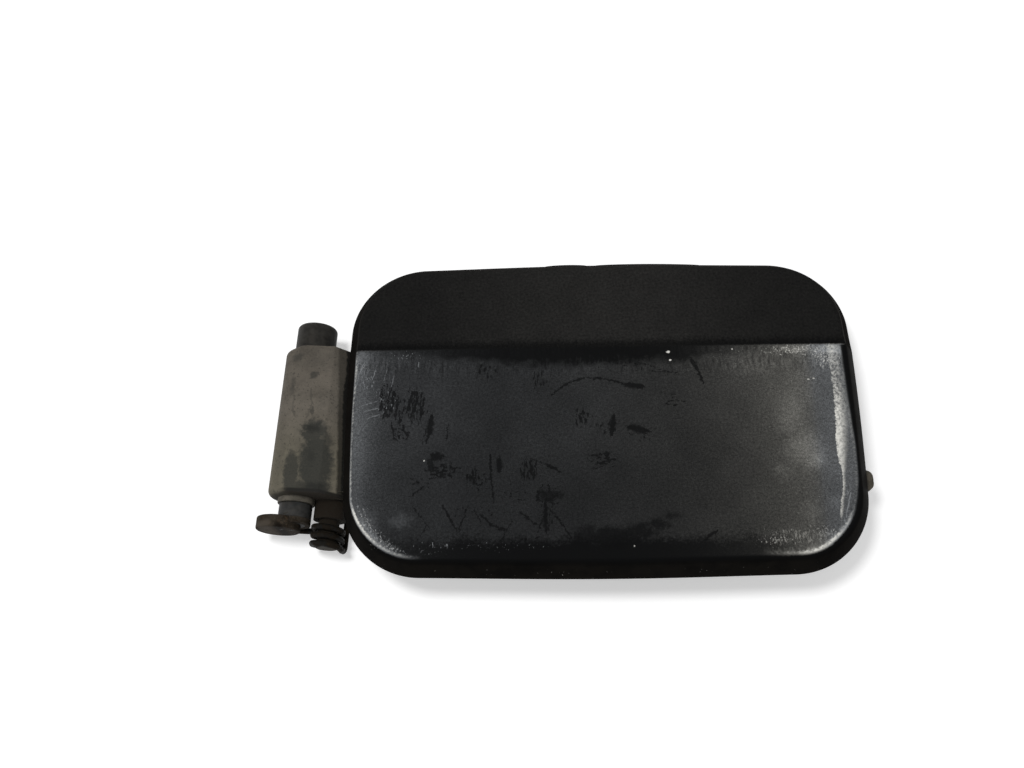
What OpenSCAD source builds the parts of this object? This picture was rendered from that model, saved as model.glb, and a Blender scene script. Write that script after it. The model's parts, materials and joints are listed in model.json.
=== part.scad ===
// Fuel filler flap of a car, lying on its back.
// Origin: on the hinge axis, halfway along the hinge barrel.
// +X runs from the hinge to the latch, +Y up the flap, +Z out of the painted face.

/* [Outer panel] */
// Width of the flap over its side edges
flap_w = 177; // [170:1:190]
// Height of the flap over its top and bottom edges
flap_h = 116; // [112:1:124]
// Radius of the corners
corner_r = 26; // [23:1:29]
// How far the top and bottom edges bow outwards
edge_bow = 1.2; // [0:0.1:2]
// How far the side edges bow outwards
side_bow = 0.7; // [0:0.1:1.5]
// Height of the swellings that the hem shows along the top edge
hem_swell = 0.5; // [0:0.1:0.8]
// Thickness of the outer sheet
skin_t = 0.8; // [0.6:0.1:1]
// Depth of the rim below the face
rim_drop = 8.4; // [7.8:0.1:9]
// Slope of the rim's wall from the face
rim_angle = 60; // [55:1:68]
// Outer radius of the bend between face and rim
bend_r = 3.2; // [2.6:0.1:4]
// Outer radius of the fold at the rim's edge
hem_r = 1.2; // [1.1:0.1:1.5]
// Width of the hem folded inwards under the rim
hem_w = 7; // [5:0.5:8]
// Height of the crease above the flap's centre
crease_y = 21; // [16:0.5:26]
// Slope of the face above the crease
upper_slope = 6; // [3:0.5:8]
// Depth of the hollow that runs along above the crease
scoop_depth = 0.9; // [0:0.1:1.2]
// Length over which that hollow runs out
scoop_run = 4; // [3:0.5:6]
// Fall of the face from the crease to the bottom edge
lower_crown = 1; // [0:0.1:1.5]
// Fall of the face from its middle to either side
side_crown = 0.6; // [0:0.1:1]

/* [Inner panel] */
// Thickness of the inner sheet
inner_t = 0.7; // [0.6:0.1:1]
// Inset of the inner sheet's edge from the rim
inner_inset = 2.8; // [2.6:0.1:4]
// Inset of the inner edge of its clinched flange
flange_inset = 10.5; // [9.5:0.5:12]
// Inset of the edge of its raised plate
plate_inset = 15; // [13.5:0.5:17]
// Height of the raised plate's underside above the hinge axis
seat_z = 10.6; // [10.4:0.1:10.8]
// Gap left in the clinch between hem and inner sheet
hem_gap = 0.05; // [0.03:0.01:0.1]
// Diameter of the lightening holes
light_hole_d = 15; // [10:1:17]
// Number of lightening holes in a row
light_holes = 3; // [2:1:4]
// Distance between the holes of a row
hole_step = 24; // [22:0.5:24]
// Height of the upper row of holes above the flap's centre
upper_row = 5.5; // [4:0.5:8]
// Depth of the lower row of holes below the flap's centre
lower_row = 19; // [17:0.5:21]

/* [Hinge] */
// Distance from the hinge axis to the flap's side edge
hinge_reach = 15.6; // [15:0.1:18]
// Height of the painted face above the hinge axis
face_z = 16; // [15.8:0.1:16.4]
// Shift of the flap's centre from the barrel's middle, along the hinge
flap_shift = 1.2; // [-3:0.1:4]
// Angle between the hinge axis and the flap's side edge
pin_skew = 3.4; // [0:0.1:5]
// Length of the hinge barrel
barrel_l = 53.7; // [48:0.1:58]
// Outer radius of the barrel
barrel_r = 10; // [9.4:0.1:10.4]
// Width of the flat on top of the barrel, from the axis towards the flap
barrel_flat = 9.2; // [8.4:0.1:9.8]
// Radius of the pin's shank
shank_r = 4; // [3.5:0.1:4.4]
// Radius of the pin's head
head_r = 7.15; // [6.5:0.05:8]
// Length of the pin's head
head_l = 10.5; // [8:0.5:12]
// Outer radius of the two bushes
bush_r = 6.4; // [6:0.1:6.8]
// Length of each bush inside the barrel
bush_l = 14; // [10:1:18]
// How far the lower bush stands out of the barrel
collar_l = 1.9; // [1.5:0.1:2.5]
// Running clearance between the pin and each bush, on the radius
run_gap = 0.05; // [0.02:0.01:0.09]
// End play of the hinge at each end
end_play = 0.15; // [0.1:0.05:0.3]
// Outer radius of the spacer sleeve
spacer_r = 5.7; // [5.4:0.05:5.8]
// Length of the spacer sleeve
spacer_l = 5; // [4.8:0.1:5.4]

/* [Arm] */
// Height of the arm's neck, where it passes under the rim
neck_z = 4.5; // [3.5:0.1:5]
// Inset of the arm's web from each end of the barrel
web_inset = 1.6; // [1.2:0.1:2.5]
// Distance from the hinge axis to the foot of the ramp behind the neck
ramp_start = 26; // [25:0.5:27]
// Run of the ramp from the neck up to the mounting pad
ramp_run = 7; // [6.5:0.5:8]
// Distance from the hinge axis to the end of the mounting pad
arm_reach = 62; // [58:1:68]
// Width of the mounting pad at its end
pad_w = 44; // [42:1:48]
// Depth of the heel below the hinge axis
heel_drop = 11; // [11:0.1:12]
// Distance from the hinge axis to the near edge of the heel's foot
heel_start = 4; // [3:0.5:5]
// Length of the heel's flat foot
heel_l = 16; // [13:1:18]
// Thickness of the heel's far wall
heel_wall = 5; // [4:0.5:6]
// Wall and rib thickness of the moulding
arm_wall = 3; // [2.5:0.1:3.2]
// Thickness of the mounting pad under the screws
pad_t = 5; // [4.5:0.1:5.5]
// Distance of the middle screw from the pad's end
end_screw = 8; // [8:0.5:10]
// Distance of the two outer screws from the pad's end
outer_screws = 16; // [14:0.5:18]

/* [Crank and spring] */
// Radius of the crank's round lobe
lobe_r = 7.6; // [7:0.1:8]
// Offset of the lobe from the hinge axis
lobe_offset = 5.2; // [4:0.1:6]
// Thickness of the lobe
lobe_t = 4.3; // [3.5:0.1:5]
// Thickness of the crank's hub
hub_t = 2; // [1.6:0.1:2.4]
// Diameter of the spring's wire
wire_d = 2.2; // [1.8:0.1:2.3]
// Radius of the spring's coil, to the middle of the wire
coil_r = 5; // [4.8:0.1:5.1]
// Rise of the coil for each turn
coil_pitch = 2.9; // [2.5:0.1:3.2]
// Distance of the coil from the hinge axis, towards the flap
coil_x = 11.6; // [11.5:0.1:12]
// Depth of the coil's middle below the hinge axis
coil_drop = 3; // [2.8:0.1:3.2]
// Radius of the boss that the spring sits against
boss_r = 5.6; // [5:0.1:5.8]
// Length of that boss
boss_l = 6.3; // [6:0.1:6.6]
// Radial gap between the spigot and the coil
spigot_gap = 0.3; // [0.2:0.1:0.6]

/* [Latch catch] */
// Distance of the catch block's outer side from the edge of the raised plate
block_inset = 1; // [0.5:0.5:3]
// Thickness of the block along the plunger's way
block_t = 10; // [8:0.5:11]
// Width of the block
block_w = 23; // [21:1:26]
// Height of the plunger eye above the flap's bottom edge
eye_rise = 51.8; // [50:0.2:54]
// Height of the plunger eye below the hinge axis
eye_drop = 3; // [2.5:0.1:3.5]
// Radius of the plunger eye
eye_r = 5; // [4:0.1:5.4]
// Thickness of the catch's base plate
base_t = 3.2; // [2.8:0.1:4]
// Length of the base plate inboard of the block
base_l = 15; // [14:0.5:18]
// Thickness of the two gussets behind the block
gusset_t = 2.5; // [2:0.1:3]
// How far the tip of the catch stands out past the flap's edge
tip_out = 2.6; // [1.5:0.1:3.5]
// Distance of that tip below the plunger eye
tip_fall = 20; // [17:0.5:21]
// Width of the tip
tip_w = 7; // [6:0.5:9]
// Thickness of the tip
tip_t = 3; // [2.5:0.1:3.4]
// Gap between the tip and the rim above it
tip_gap = 0.9; // [0.7:0.1:1.2]

/* [Fasteners and buffers] */
// Shank radius of the screws
screw_r = 2.5; // [2:0.1:2.6]
// Radius of the screws' flanged heads
screw_head_r = 4.8; // [4.2:0.1:5]
// Height of the screws' heads
screw_head_h = 3; // [2.5:0.1:3.4]
// Clearance of the screw holes, on the radius
hole_gap = 0.3; // [0.15:0.05:0.4]
// Width across corners of the weld nuts, halved
nut_r = 4.6; // [4.2:0.1:5]
// Height of the weld nuts
nut_h = 2.6; // [2.2:0.1:2.8]
// Radius of the buffers' heads
buffer_r = 6; // [5:0.1:6.5]
// Height of the buffers' heads
buffer_h = 6; // [5:0.5:7]
// Radius of the buffers' necks
buffer_neck_r = 3; // [2.5:0.1:3.2]
// Distance of the buffers from the edge of the raised plate
buffer_inset = 9.5; // [8.5:0.5:11]
// Distance of the upper buffer from the top edge of the plate
buffer_fall = 7.8; // [7.5:0.1:9]

/* [Hidden] */

$fn = 64;
paint_black = "#15171a";
primer_grey = "#3b3e42";
dusty_moulding = "#5c5850";
dark_steel = "#43413e";
blue_grey = "#4d5258";
rusty_brown = "#5a4636";
spring_brown = "#4a3c30";
olive_moulding = "#6b6653";
zinc = "#8d8f8e";
rubber_black = "#1c1c1c";
bush_ivory = "#8a8372";

// Steps around each corner, along the face and around the folds
corner_steps = 10;
column_steps = 10;
bend_steps = 4;
fold_steps = 4;
eps = 0.01;

// The flap's own frame: its centre seen from the hinge
flap_cx = hinge_reach + flap_w / 2;
half_w = flap_w / 2 - side_bow;
half_h = flap_h / 2 - edge_bow;
straight_w = half_w - corner_r;
straight_h = half_h - corner_r;

// Shape of the face
function scoop(d) = scoop_depth * (1 - exp(-d / scoop_run));
function face_fall(y) = y > crease_y
    ? tan(upper_slope) * (y - crease_y) + scoop(y - crease_y)
    : lower_crown * pow((crease_y - y) / (crease_y + half_h), 2);
function face_height(x, y) = face_z - face_fall(y) - side_crown * pow(x / half_w, 2);
function plate_fall(y) = tan(upper_slope) * max(0, y - crease_y);
function plate_height(y) = seat_z - plate_fall(y);

// The edges bow outwards, and the hem swells in two places along the top
function swell(x, from, to) = x > from && x < to ? pow(sin(180 * (x - from) / (to - from)), 0.5) : 0;
function top_swell(x) = hem_swell * (swell(x, -0.21 * half_w, -0.04 * half_w)
    + swell(x, 0, 0.43 * half_w));
function bowed(p) = [
    p.x + side_bow * pow(p.x / half_w, 3) * pow(cos(90 * p.y / half_h), 2),
    p.y + edge_bow * pow(p.y / half_h, 3) * pow(cos(90 * p.x / half_w), 2)
        + (p.y > 0 ? top_swell(p.x) * pow(p.y / half_h, 12) : 0)];

// Right-hand side of the outline, bottom to top: place and outward direction
function corner_place(a, up) = [
    straight_w + corner_r * cos(a), up * straight_h + corner_r * sin(a), cos(a), sin(a)];
side_levels = [for (i = [1:3]) -straight_h + (crease_y + straight_h) * i / 4];
crest_levels = [for (i = [0:2]) crease_y + (straight_h - crease_y) * i / 3];
right_side = concat(
    [for (i = [0:corner_steps]) corner_place(-90 + 90 * i / corner_steps, -1)],
    [for (y = side_levels) [half_w, y, 1, 0]],
    [for (y = crest_levels) [half_w, y, 1, 0]],
    [for (i = [0:corner_steps]) corner_place(90 * i / corner_steps, 1)]);
rows = len(right_side);
row_points = column_steps + 1;
loop_length = 2 * row_points + 2 * (rows - 2);

// Grid point at a row and column, for a sheet whose edge is inset from the outline
function row_end(j, inset) = [right_side[j][0] - inset * right_side[j][2],
    right_side[j][1] - inset * right_side[j][3]];
function grid_place(j, m, inset) = [row_end(j, inset).x * (2 * m / column_steps - 1),
    row_end(j, inset).y];
function loop_row(k) = k < row_points ? 0
    : k < row_points + rows - 2 ? k - row_points + 1
    : k < 2 * row_points + rows - 2 ? rows - 1
    : loop_length - k;
function loop_column(k) = k < row_points ? k
    : k < row_points + rows - 2 ? column_steps
    : k < 2 * row_points + rows - 2 ? 2 * row_points + rows - 3 - k
    : 0;
function loop_place(k, inset) = let (j = loop_row(k), m = loop_column(k))
    grid_place(j, m, inset);

// A pressed sheet: a grid on top, rings around its edge and back, a grid beneath.
// Each ring is [inset, depth, on the plate]; the depth is below the face or the plate.
function sheet_height(p, depth, on_plate) =
    (on_plate ? plate_height(p.y) : face_height(p.x, p.y)) - depth;
function lifted(p, depth, on_plate) = let (q = bowed(p))
    [q.x, q.y, sheet_height(p, depth, on_plate)];
function grid_points(ring) = [for (j = [0:rows - 1], m = [0:column_steps])
    lifted(grid_place(j, m, ring[0]), ring[1], ring[2])];
function ring_points(ring) = [for (k = [0:loop_length - 1])
    lifted(loop_place(k, ring[0]), ring[1], ring[2])];
function grid_index(k) = loop_row(k) * row_points + loop_column(k);

module pressed_sheet(rings) {
    last = len(rings) - 1;
    grid_size = rows * row_points;
    points = concat(grid_points(rings[0]), grid_points(rings[last]),
        [for (i = [1:last - 1]) each ring_points(rings[i])]);
    function vertex(i, k) = let (w = k % loop_length)
        i == 0 ? grid_index(w)
        : i == last ? grid_size + grid_index(w)
        : 2 * grid_size + (i - 1) * loop_length + w;
    top_faces = [for (j = [0:rows - 2], m = [0:column_steps - 1]) let (a = j * row_points + m)
        each [[a, a + row_points, a + 1], [a + 1, a + row_points, a + row_points + 1]]];
    bottom_faces = [for (f = top_faces) [f[0] + grid_size, f[2] + grid_size, f[1] + grid_size]];
    edge_faces = [for (i = [0:last - 1], k = [0:loop_length - 1])
        each [[vertex(i, k), vertex(i, k + 1), vertex(i + 1, k)],
            [vertex(i, k + 1), vertex(i + 1, k + 1), vertex(i + 1, k)]]];
    polyhedron(points = points, faces = concat(top_faces, bottom_faces, edge_faces));
}

// Section of the outer panel's edge: bend, rim wall and folded hem
bend_inset = (bend_r * (1 - cos(rim_angle)) + hem_r * sin(rim_angle)
    + (rim_drop - hem_r) * cos(rim_angle) - hem_r) / sin(rim_angle);
function around(inset, depth, r, a) = [inset - r * sin(a), depth - r * cos(a), false];
outer_rings = concat(
    [for (i = [0:bend_steps])
        around(bend_inset, bend_r, bend_r, rim_angle * i / bend_steps)],
    [for (i = [0:fold_steps])
        around(hem_r, rim_drop - hem_r, hem_r, rim_angle + (180 - rim_angle) * i / fold_steps)],
    [[hem_w, rim_drop, false], [hem_w, rim_drop - skin_t, false]],
    [for (a = [180, (180 + rim_angle) / 2, rim_angle])
        around(hem_r, rim_drop - hem_r, hem_r - skin_t, a)],
    [for (a = [rim_angle, rim_angle / 2, 0])
        around(bend_inset, bend_r, bend_r - skin_t, a)]);

// Section of the inner panel's edge: flange in the hem, step, raised plate
flange_depth = rim_drop - skin_t - hem_gap;
inner_rings = [
    [plate_inset, -inner_t, true],
    [flange_inset + inner_t, flange_depth - inner_t, false],
    [inner_inset, flange_depth - inner_t, false],
    [inner_inset, flange_depth, false],
    [flange_inset, flange_depth, false],
    [plate_inset - inner_t, 0, true],
    [plate_inset, 0, true]];

// Fillets a closed outline of [x, y, radius]
function unit(v) = v / norm(v);
function fillet_arc(a, b, c, r, n) =
    let (u = unit([a.x - b.x, a.y - b.y]), v = unit([c.x - b.x, c.y - b.y]),
        half = acos(max(-1, min(1, u * v))) / 2, t = r / tan(half),
        m = [b.x, b.y] + unit(u + v) * r / sin(half),
        p = [b.x, b.y] + u * t - m, q = [b.x, b.y] + v * t - m,
        turn = p.x * q.y - p.y * q.x > 0 ? 1 : -1, sweep = (180 - 2 * half) * turn)
    [for (i = [0:n]) let (w = sweep * i / n)
        m + [p.x * cos(w) - p.y * sin(w), p.x * sin(w) + p.y * cos(w)]];
function rounded(path, n = 6) = [for (i = [0:len(path) - 1])
    let (a = path[(i + len(path) - 1) % len(path)], b = path[i], c = path[(i + 1) % len(path)])
        each (b[2] > 0 ? fillet_arc(a, b, c, b[2], n) : [[b.x, b.y]])];

module flap_place() {
    translate([flap_cx, flap_shift, 0]) children();
}
module hinge_place() {
    rotate([0, 0, -pin_skew]) children();
}
// Stands along the hinge, starting at v and growing towards the top
module along_hinge(v) {
    hinge_place() translate([0, v, 0]) rotate([-90, 0, 0]) children();
}
// Extrudes an outline drawn in X and Z along Y, centred
module side_profile(w) {
    rotate([90, 0, 0]) translate([0, 0, -w / 2]) linear_extrude(w) children();
}

// Places that several pieces share
half_barrel = barrel_l / 2;
collar_end = -half_barrel - collar_l;
spacer_start = collar_end - end_play;
crank_start = spacer_start - spacer_l;
spigot_r = coil_r - wire_d / 2 - spigot_gap;
ramp_end = ramp_start + ramp_run;
foot_z = -heel_drop;
plate_half_w = half_w - plate_inset;
plate_half_h = half_h - plate_inset;
// The arm's ribs leave three cells, with a screw in each
cell_w = (pad_w - 4 * arm_wall) / 3;
cell_step = cell_w + arm_wall;
arm_screws = [
    [arm_reach - outer_screws, cell_step],
    [arm_reach - end_screw, 0],
    [arm_reach - outer_screws, -cell_step]];
// The catch's gussets stand on both sides of the eye, its screws outside them
eye_y = eye_rise - half_h;
tip_y = eye_y - tip_fall;
block_x = plate_half_w - block_inset - block_t;
gusset_y = eye_r + 0.3 + gusset_t / 2;
catch_screw_y = gusset_y + gusset_t / 2 + screw_head_r + 1;
base_w = 2 * (catch_screw_y + screw_head_r + 1.2);
catch_screws = [
    [block_x - base_l / 2, eye_y + catch_screw_y],
    [block_x - base_l / 2, eye_y - catch_screw_y]];
buffer_spots = [
    [plate_half_w - buffer_inset, plate_half_h - buffer_fall],
    [plate_half_w - buffer_inset, buffer_inset - plate_half_h]];
through = 1;

module outer_panel() {
    color(paint_black) flap_place() pressed_sheet(outer_rings);
}

module plate_hole(r) {
    translate([0, 0, -through]) cylinder(r = r, h = inner_t + 2 * through);
}
module inner_panel() {
    color(primer_grey) difference() {
        flap_place() pressed_sheet(inner_rings);
        for (s = arm_screws) translate([s.x, s.y, seat_z]) plate_hole(screw_r);
        flap_place() {
            for (s = catch_screws) translate([s.x, s.y, seat_z]) plate_hole(screw_r);
            for (s = buffer_spots) buffer_place(s) plate_hole(buffer_neck_r);
            for (i = [0:light_holes - 1], y = [upper_row, -lower_row])
                translate([(i - (light_holes - 1) / 2) * hole_step, y, seat_z])
                    plate_hole(light_hole_d / 2);
        }
    }
}

// Outline of the arm seen from its end
heel_end = heel_start + heel_l;
ramp_shift = arm_wall * tan(atan((seat_z - neck_z) / ramp_run) / 2);
arm_outline = [
    [heel_start, neck_z, 0],
    [ramp_start, neck_z, 3],
    [ramp_end, seat_z, 1],
    [arm_reach, seat_z, 0.6],
    [arm_reach, seat_z - pad_t, 1],
    [ramp_end + arm_wall, seat_z - pad_t - arm_wall, 4],
    [heel_end, foot_z, 2.5],
    [heel_start, foot_z, 1.5]];
// Outline of the hollow under the neck and the pad
hollow_outline = [
    [heel_end - heel_wall, foot_z - through, 0],
    [heel_end - heel_wall, neck_z - arm_wall, 2],
    [ramp_start + ramp_shift, neck_z - arm_wall, 3],
    [ramp_end + ramp_shift, seat_z - arm_wall, 2],
    [arm_reach - arm_wall, seat_z - arm_wall, 0.6],
    [arm_reach - arm_wall, foot_z - through, 0]];
// Outline of the arm seen from above
web_half = half_barrel - web_inset;
taper_start = ramp_start - 6;
pad_flare = 1.5;
arm_plan = [
    [0, -web_half, 0],
    [taper_start, -web_half, 5],
    [ramp_end, -pad_w / 2 - pad_flare, 8],
    [arm_reach + through, -pad_w / 2, 7],
    [arm_reach + through, pad_w / 2, 7],
    [ramp_end, pad_w / 2 + pad_flare, 8],
    [taper_start, web_half, 5],
    [0, web_half, 0]];

module arm_web() {
    intersection() {
        side_profile(2 * web_half) polygon(rounded(arm_outline));
        translate([0, 0, foot_z - through]) linear_extrude(seat_z - foot_z + 2 * through)
            polygon(rounded(arm_plan));
    }
}

// The barrel, with its flat and the bevel that runs on into the web
module barrel_body() {
    run_in = 2;
    drop = barrel_r - neck_z + run_in;
    along_hinge(-half_barrel) cylinder(r = barrel_r, h = barrel_l);
    hinge_place() side_profile(barrel_l) polygon(rounded([
        [0, barrel_r, 0], [barrel_flat, barrel_r, 1.2],
        [barrel_flat + drop, neck_z - run_in, 0], [0, neck_z - run_in, 0]]));
}

module arm_hollows() {
    for (i = [-1:1]) translate([0, i * cell_step, 0])
        side_profile(cell_w) polygon(rounded(hollow_outline));
}

// Boss and spigot that carry the spring's coil
module spring_seat() {
    along_hinge(-half_barrel - boss_l) translate([coil_x, coil_drop, 0])
        cylinder(r = boss_r, h = boss_l + boss_root);
    along_hinge(coil_end) translate([coil_x, coil_drop, 0])
        cylinder(r = spigot_r, h = -half_barrel - boss_l / 2 - coil_end);
}

boss_root = 4;
boss_wall = 1.6;
grease_gap = 1;
module hinge_arm() {
    color(dusty_moulding) difference() {
        union() {
            difference() {
                union() {
                    arm_web();
                    barrel_body();
                }
                arm_hollows();
            }
            for (s = arm_screws) translate([s.x, s.y, seat_z - pad_t])
                cylinder(r = screw_head_r + boss_wall, h = pad_t - arm_wall / 2);
            spring_seat();
        }
        along_hinge(-half_barrel - through) cylinder(r = bush_r, h = bush_l + through);
        along_hinge(half_barrel - bush_l) cylinder(r = bush_r, h = bush_l + through);
        along_hinge(-half_barrel) cylinder(r = shank_r + grease_gap, h = barrel_l);
        for (s = arm_screws) translate([s.x, s.y, foot_z - through])
            cylinder(r = screw_r + hole_gap, h = seat_z - foot_z + 2 * through);
        tail_hole();
    }
}

module bush(l) {
    difference() {
        cylinder(r = bush_r, h = l);
        translate([0, 0, -through]) cylinder(r = shank_r + run_gap, h = l + 2 * through);
    }
}

module upper_bush() {
    color(bush_ivory) along_hinge(half_barrel - bush_l) bush(bush_l);
}

module lower_bush() {
    color(bush_ivory) along_hinge(collar_end) bush(bush_l + collar_l);
}

module pivot_pin() {
    head_start = half_barrel + end_play;
    pin_end = crank_start - hub_t;
    edge = 1.4;
    dimple_r = 3.2;
    dimple_depth = 1;
    color(dark_steel) {
        along_hinge(pin_end) cylinder(r = shank_r, h = head_start - pin_end + head_l / 2);
        along_hinge(head_start) rotate_extrude() polygon(rounded([
            [0, 0, 0], [head_r, 0, 0.4], [head_r, head_l, edge], [dimple_r, head_l, 0.4],
            [dimple_r - dimple_depth, head_l - dimple_depth, 0], [0, head_l - dimple_depth, 0]]));
    }
}

module spacer_sleeve() {
    color(blue_grey) along_hinge(crank_start) difference() {
        cylinder(r = spacer_r, h = spacer_l);
        translate([0, 0, -through]) cylinder(r = shank_r, h = spacer_l + 2 * through);
    }
}

lobe_edge = 0.6;
module crank_lever() {
    color(rusty_brown) difference() {
        union() {
            along_hinge(crank_start - hub_t) cylinder(r = spacer_r, h = hub_t);
            along_hinge(crank_start - lobe_t) translate([-lobe_offset, 0, 0])
                rotate_extrude() polygon(rounded([
                    [0, 0, 0], [lobe_r, 0, lobe_edge], [lobe_r, lobe_t, lobe_edge],
                    [0, lobe_t, 0]], 4));
        }
        along_hinge(crank_start - hub_t) cylinder(r = shank_r, h = hub_t + through);
        hinge_place() translate([-lobe_offset, coil_start, -lobe_r - through])
            cylinder(r = wire_d / 2 + wire_gap, h = through + tip_depth + 2 * wire_gap);
    }
}

// The spring's wire: a tip in the crank's lobe, a leg under it, the coil, and a tail in the arm
tip_depth = 2.4;
wire_gap = 0.2;
coil_start = crank_start - 1.7;
coil_turns = 2.5;
coil_steps = 45;
coil_end = coil_start - coil_turns * coil_pitch;
leg_z = -lobe_r - wire_d / 2 - 0.9;
tail_depth = 5;
tail_z = -coil_drop - coil_r - 0.5;
tail_x = coil_x + coil_r + 0.2;
function coil_place(a) = [coil_x - coil_r * cos(a), coil_start - coil_pitch * a / 360,
    -coil_drop + coil_r * sin(a)];
// Rounds a bend of the wire between two points near its corner
function wire_bend(a, b, c, n = 4) = [for (i = [0:n]) let (t = i / n)
    a * (1 - t) * (1 - t) + b * 2 * t * (1 - t) + c * t * t];
wire_path = concat(
    [[-lobe_offset, coil_start, -lobe_r + tip_depth], [-lobe_offset, coil_start, -lobe_r + 0.6]],
    wire_bend([-lobe_offset, coil_start, -lobe_r - 0.2], [-lobe_offset, coil_start, leg_z],
        [-lobe_offset + 1.8, coil_start, leg_z]),
    [[0, coil_start, leg_z]],
    wire_bend([coil_x - coil_r - 2.6, coil_start, leg_z], [coil_x - coil_r, coil_start, leg_z],
        [coil_x - coil_r, coil_start, leg_z + 3.2]),
    [for (i = [0:coil_steps]) coil_place(360 * coil_turns * i / coil_steps)],
    wire_bend([coil_x + coil_r, coil_end, -coil_drop - 2.4], [tail_x, coil_end, tail_z],
        [tail_x, coil_end + 2.6, tail_z]),
    [[tail_x, -half_barrel - 2, tail_z], [tail_x, -half_barrel + tail_depth, tail_z]]);

// Sweeps a round wire along a path
wire_sides = 10;
function tangent(p, i) = unit(p[min(i + 1, len(p) - 1)] - p[max(i - 1, 0)]);
function carried(n, t) = unit(n - t * (n * t));
function wire_ring(c, n, t, r) = let (b = cross(t, n))
    [for (k = [0:wire_sides - 1]) let (a = 360 * k / wire_sides) c + r * (n * cos(a) + b * sin(a))];
function wire_normals(p) = [for (i = 0, n = carried([0, 1, 0], tangent(p, 0)); i < len(p);
    i = i + 1, n = carried(n, tangent(p, min(i, len(p) - 1)))) n];
module wire(path, r) {
    normals = wire_normals(path);
    n = len(path);
    points = [for (i = [0:n - 1]) each wire_ring(path[i], normals[i], tangent(path, i), r)];
    sides = [for (i = [0:n - 2], k = [0:wire_sides - 1])
        let (a = i * wire_sides + k, b = i * wire_sides + (k + 1) % wire_sides)
            each [[a, b, a + wire_sides], [b, b + wire_sides, a + wire_sides]]];
    start_cap = [[for (k = [wire_sides - 1:-1:0]) k]];
    end_cap = [[for (k = [0:wire_sides - 1]) (n - 1) * wire_sides + k]];
    polyhedron(points = points, faces = concat(sides, start_cap, end_cap));
}

module torsion_spring() {
    color(spring_brown) hinge_place() wire(wire_path, wire_d / 2);
}

module tail_hole() {
    along_hinge(-half_barrel - through) translate([tail_x, -tail_z, 0])
        cylinder(r = wire_d / 2 + wire_gap, h = through + tail_depth + 2 * wire_gap);
}

// Outlines of the catch, seen from above, in the flap's own frame
base_plan = [
    [block_x - base_l, eye_y - base_w / 2, 5],
    [block_x + block_t, eye_y - base_w / 2, 2],
    [block_x + block_t, eye_y + base_w / 2, 2],
    [block_x - base_l, eye_y + base_w / 2, 5]];
tip_x = flap_w / 2 + tip_out;
tongue_root = 3;
tongue_plan = [
    [block_x + block_t - tongue_root, eye_y, 0],
    [block_x + block_t - tongue_root, tip_y - tip_w / 2, 3],
    [tip_x, tip_y - tip_w / 2, 2.4],
    [tip_x, tip_y + tip_w / 2, 2.4],
    [block_x + block_t + 2, tip_y + tip_w / 2, 3],
    [block_x + block_t - 1, eye_y, 0]];
rim_z = face_height(half_w, tip_y) - rim_drop;
tip_z = rim_z - tip_gap - tip_t;

module catch_gusset(y) {
    root = base_t / 2;
    gusset_end = block_x - base_l + 3;
    translate([0, y, 0]) side_profile(gusset_t) polygon([
        [block_x + root, seat_z - root], [block_x + root, -eye_drop], [block_x, -eye_drop],
        [gusset_end, seat_z - base_t], [gusset_end, seat_z - root]]);
}

module catch_block() {
    block_top = seat_z - base_t / 2;
    intersection() {
        translate([block_x, 0, 0]) rotate([90, 0, 90]) linear_extrude(block_t)
            polygon(rounded([
                [eye_y - block_w / 2, block_top, 0], [eye_y - block_w / 2, foot_z, 3.5],
                [eye_y + block_w / 2, foot_z, 3.5], [eye_y + block_w / 2, block_top, 0]]));
        translate([0, eye_y, 0]) side_profile(2 * block_w) polygon(rounded([
            [block_x, seat_z, 0], [block_x, foot_z, 2],
            [block_x + block_t, foot_z, 2], [block_x + block_t, seat_z, 0]]));
    }
}

module latch_catch() {
    color(olive_moulding) flap_place() difference() {
        union() {
            translate([0, 0, seat_z - base_t]) linear_extrude(base_t) polygon(rounded(base_plan));
            catch_block();
            translate([0, 0, tip_z]) linear_extrude(tip_t) polygon(rounded(tongue_plan));
            for (side = [-1, 1]) catch_gusset(eye_y + side * gusset_y);
        }
        translate([block_x - base_l, eye_y, -eye_drop]) rotate([0, 90, 0])
            cylinder(r = eye_r, h = base_l + block_t + through);
        for (s = catch_screws) translate([s.x, s.y, 0])
            cylinder(r = screw_r + hole_gap, h = seat_z + through);
    }
}

// A flanged screw, pointing up, its head's upper side at z = 0
module screw(grip) {
    flange_t = 0.8;
    flange_lip = 1.2;
    point_l = 0.6;
    socket_r = 2;
    socket_depth = 1.6;
    difference() {
        union() {
            rotate_extrude() polygon(rounded([
                [0, -screw_head_h, 0], [screw_head_r - flange_lip, -screw_head_h, 0.5],
                [screw_head_r - flange_lip, -flange_t, 0.2], [screw_head_r, -flange_t, 0.3],
                [screw_head_r, 0, 0], [0, 0, 0]], 3));
            cylinder(r = screw_r, h = grip - point_l);
            translate([0, 0, grip - point_l - eps])
                cylinder(r1 = screw_r, r2 = screw_r - point_l, h = point_l);
        }
        translate([0, 0, -screw_head_h - through])
            cylinder(r = socket_r, h = socket_depth + through, $fn = 6);
    }
}

module weld_nut() {
    collar_h = 0.8;
    collar_lip = 1;
    difference() {
        union() {
            cylinder(r = nut_r, h = nut_h, $fn = 6);
            cylinder(r = nut_r + collar_lip, h = collar_h);
        }
        translate([0, 0, -through]) cylinder(r = screw_r, h = nut_h + 2 * through);
    }
}

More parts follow.
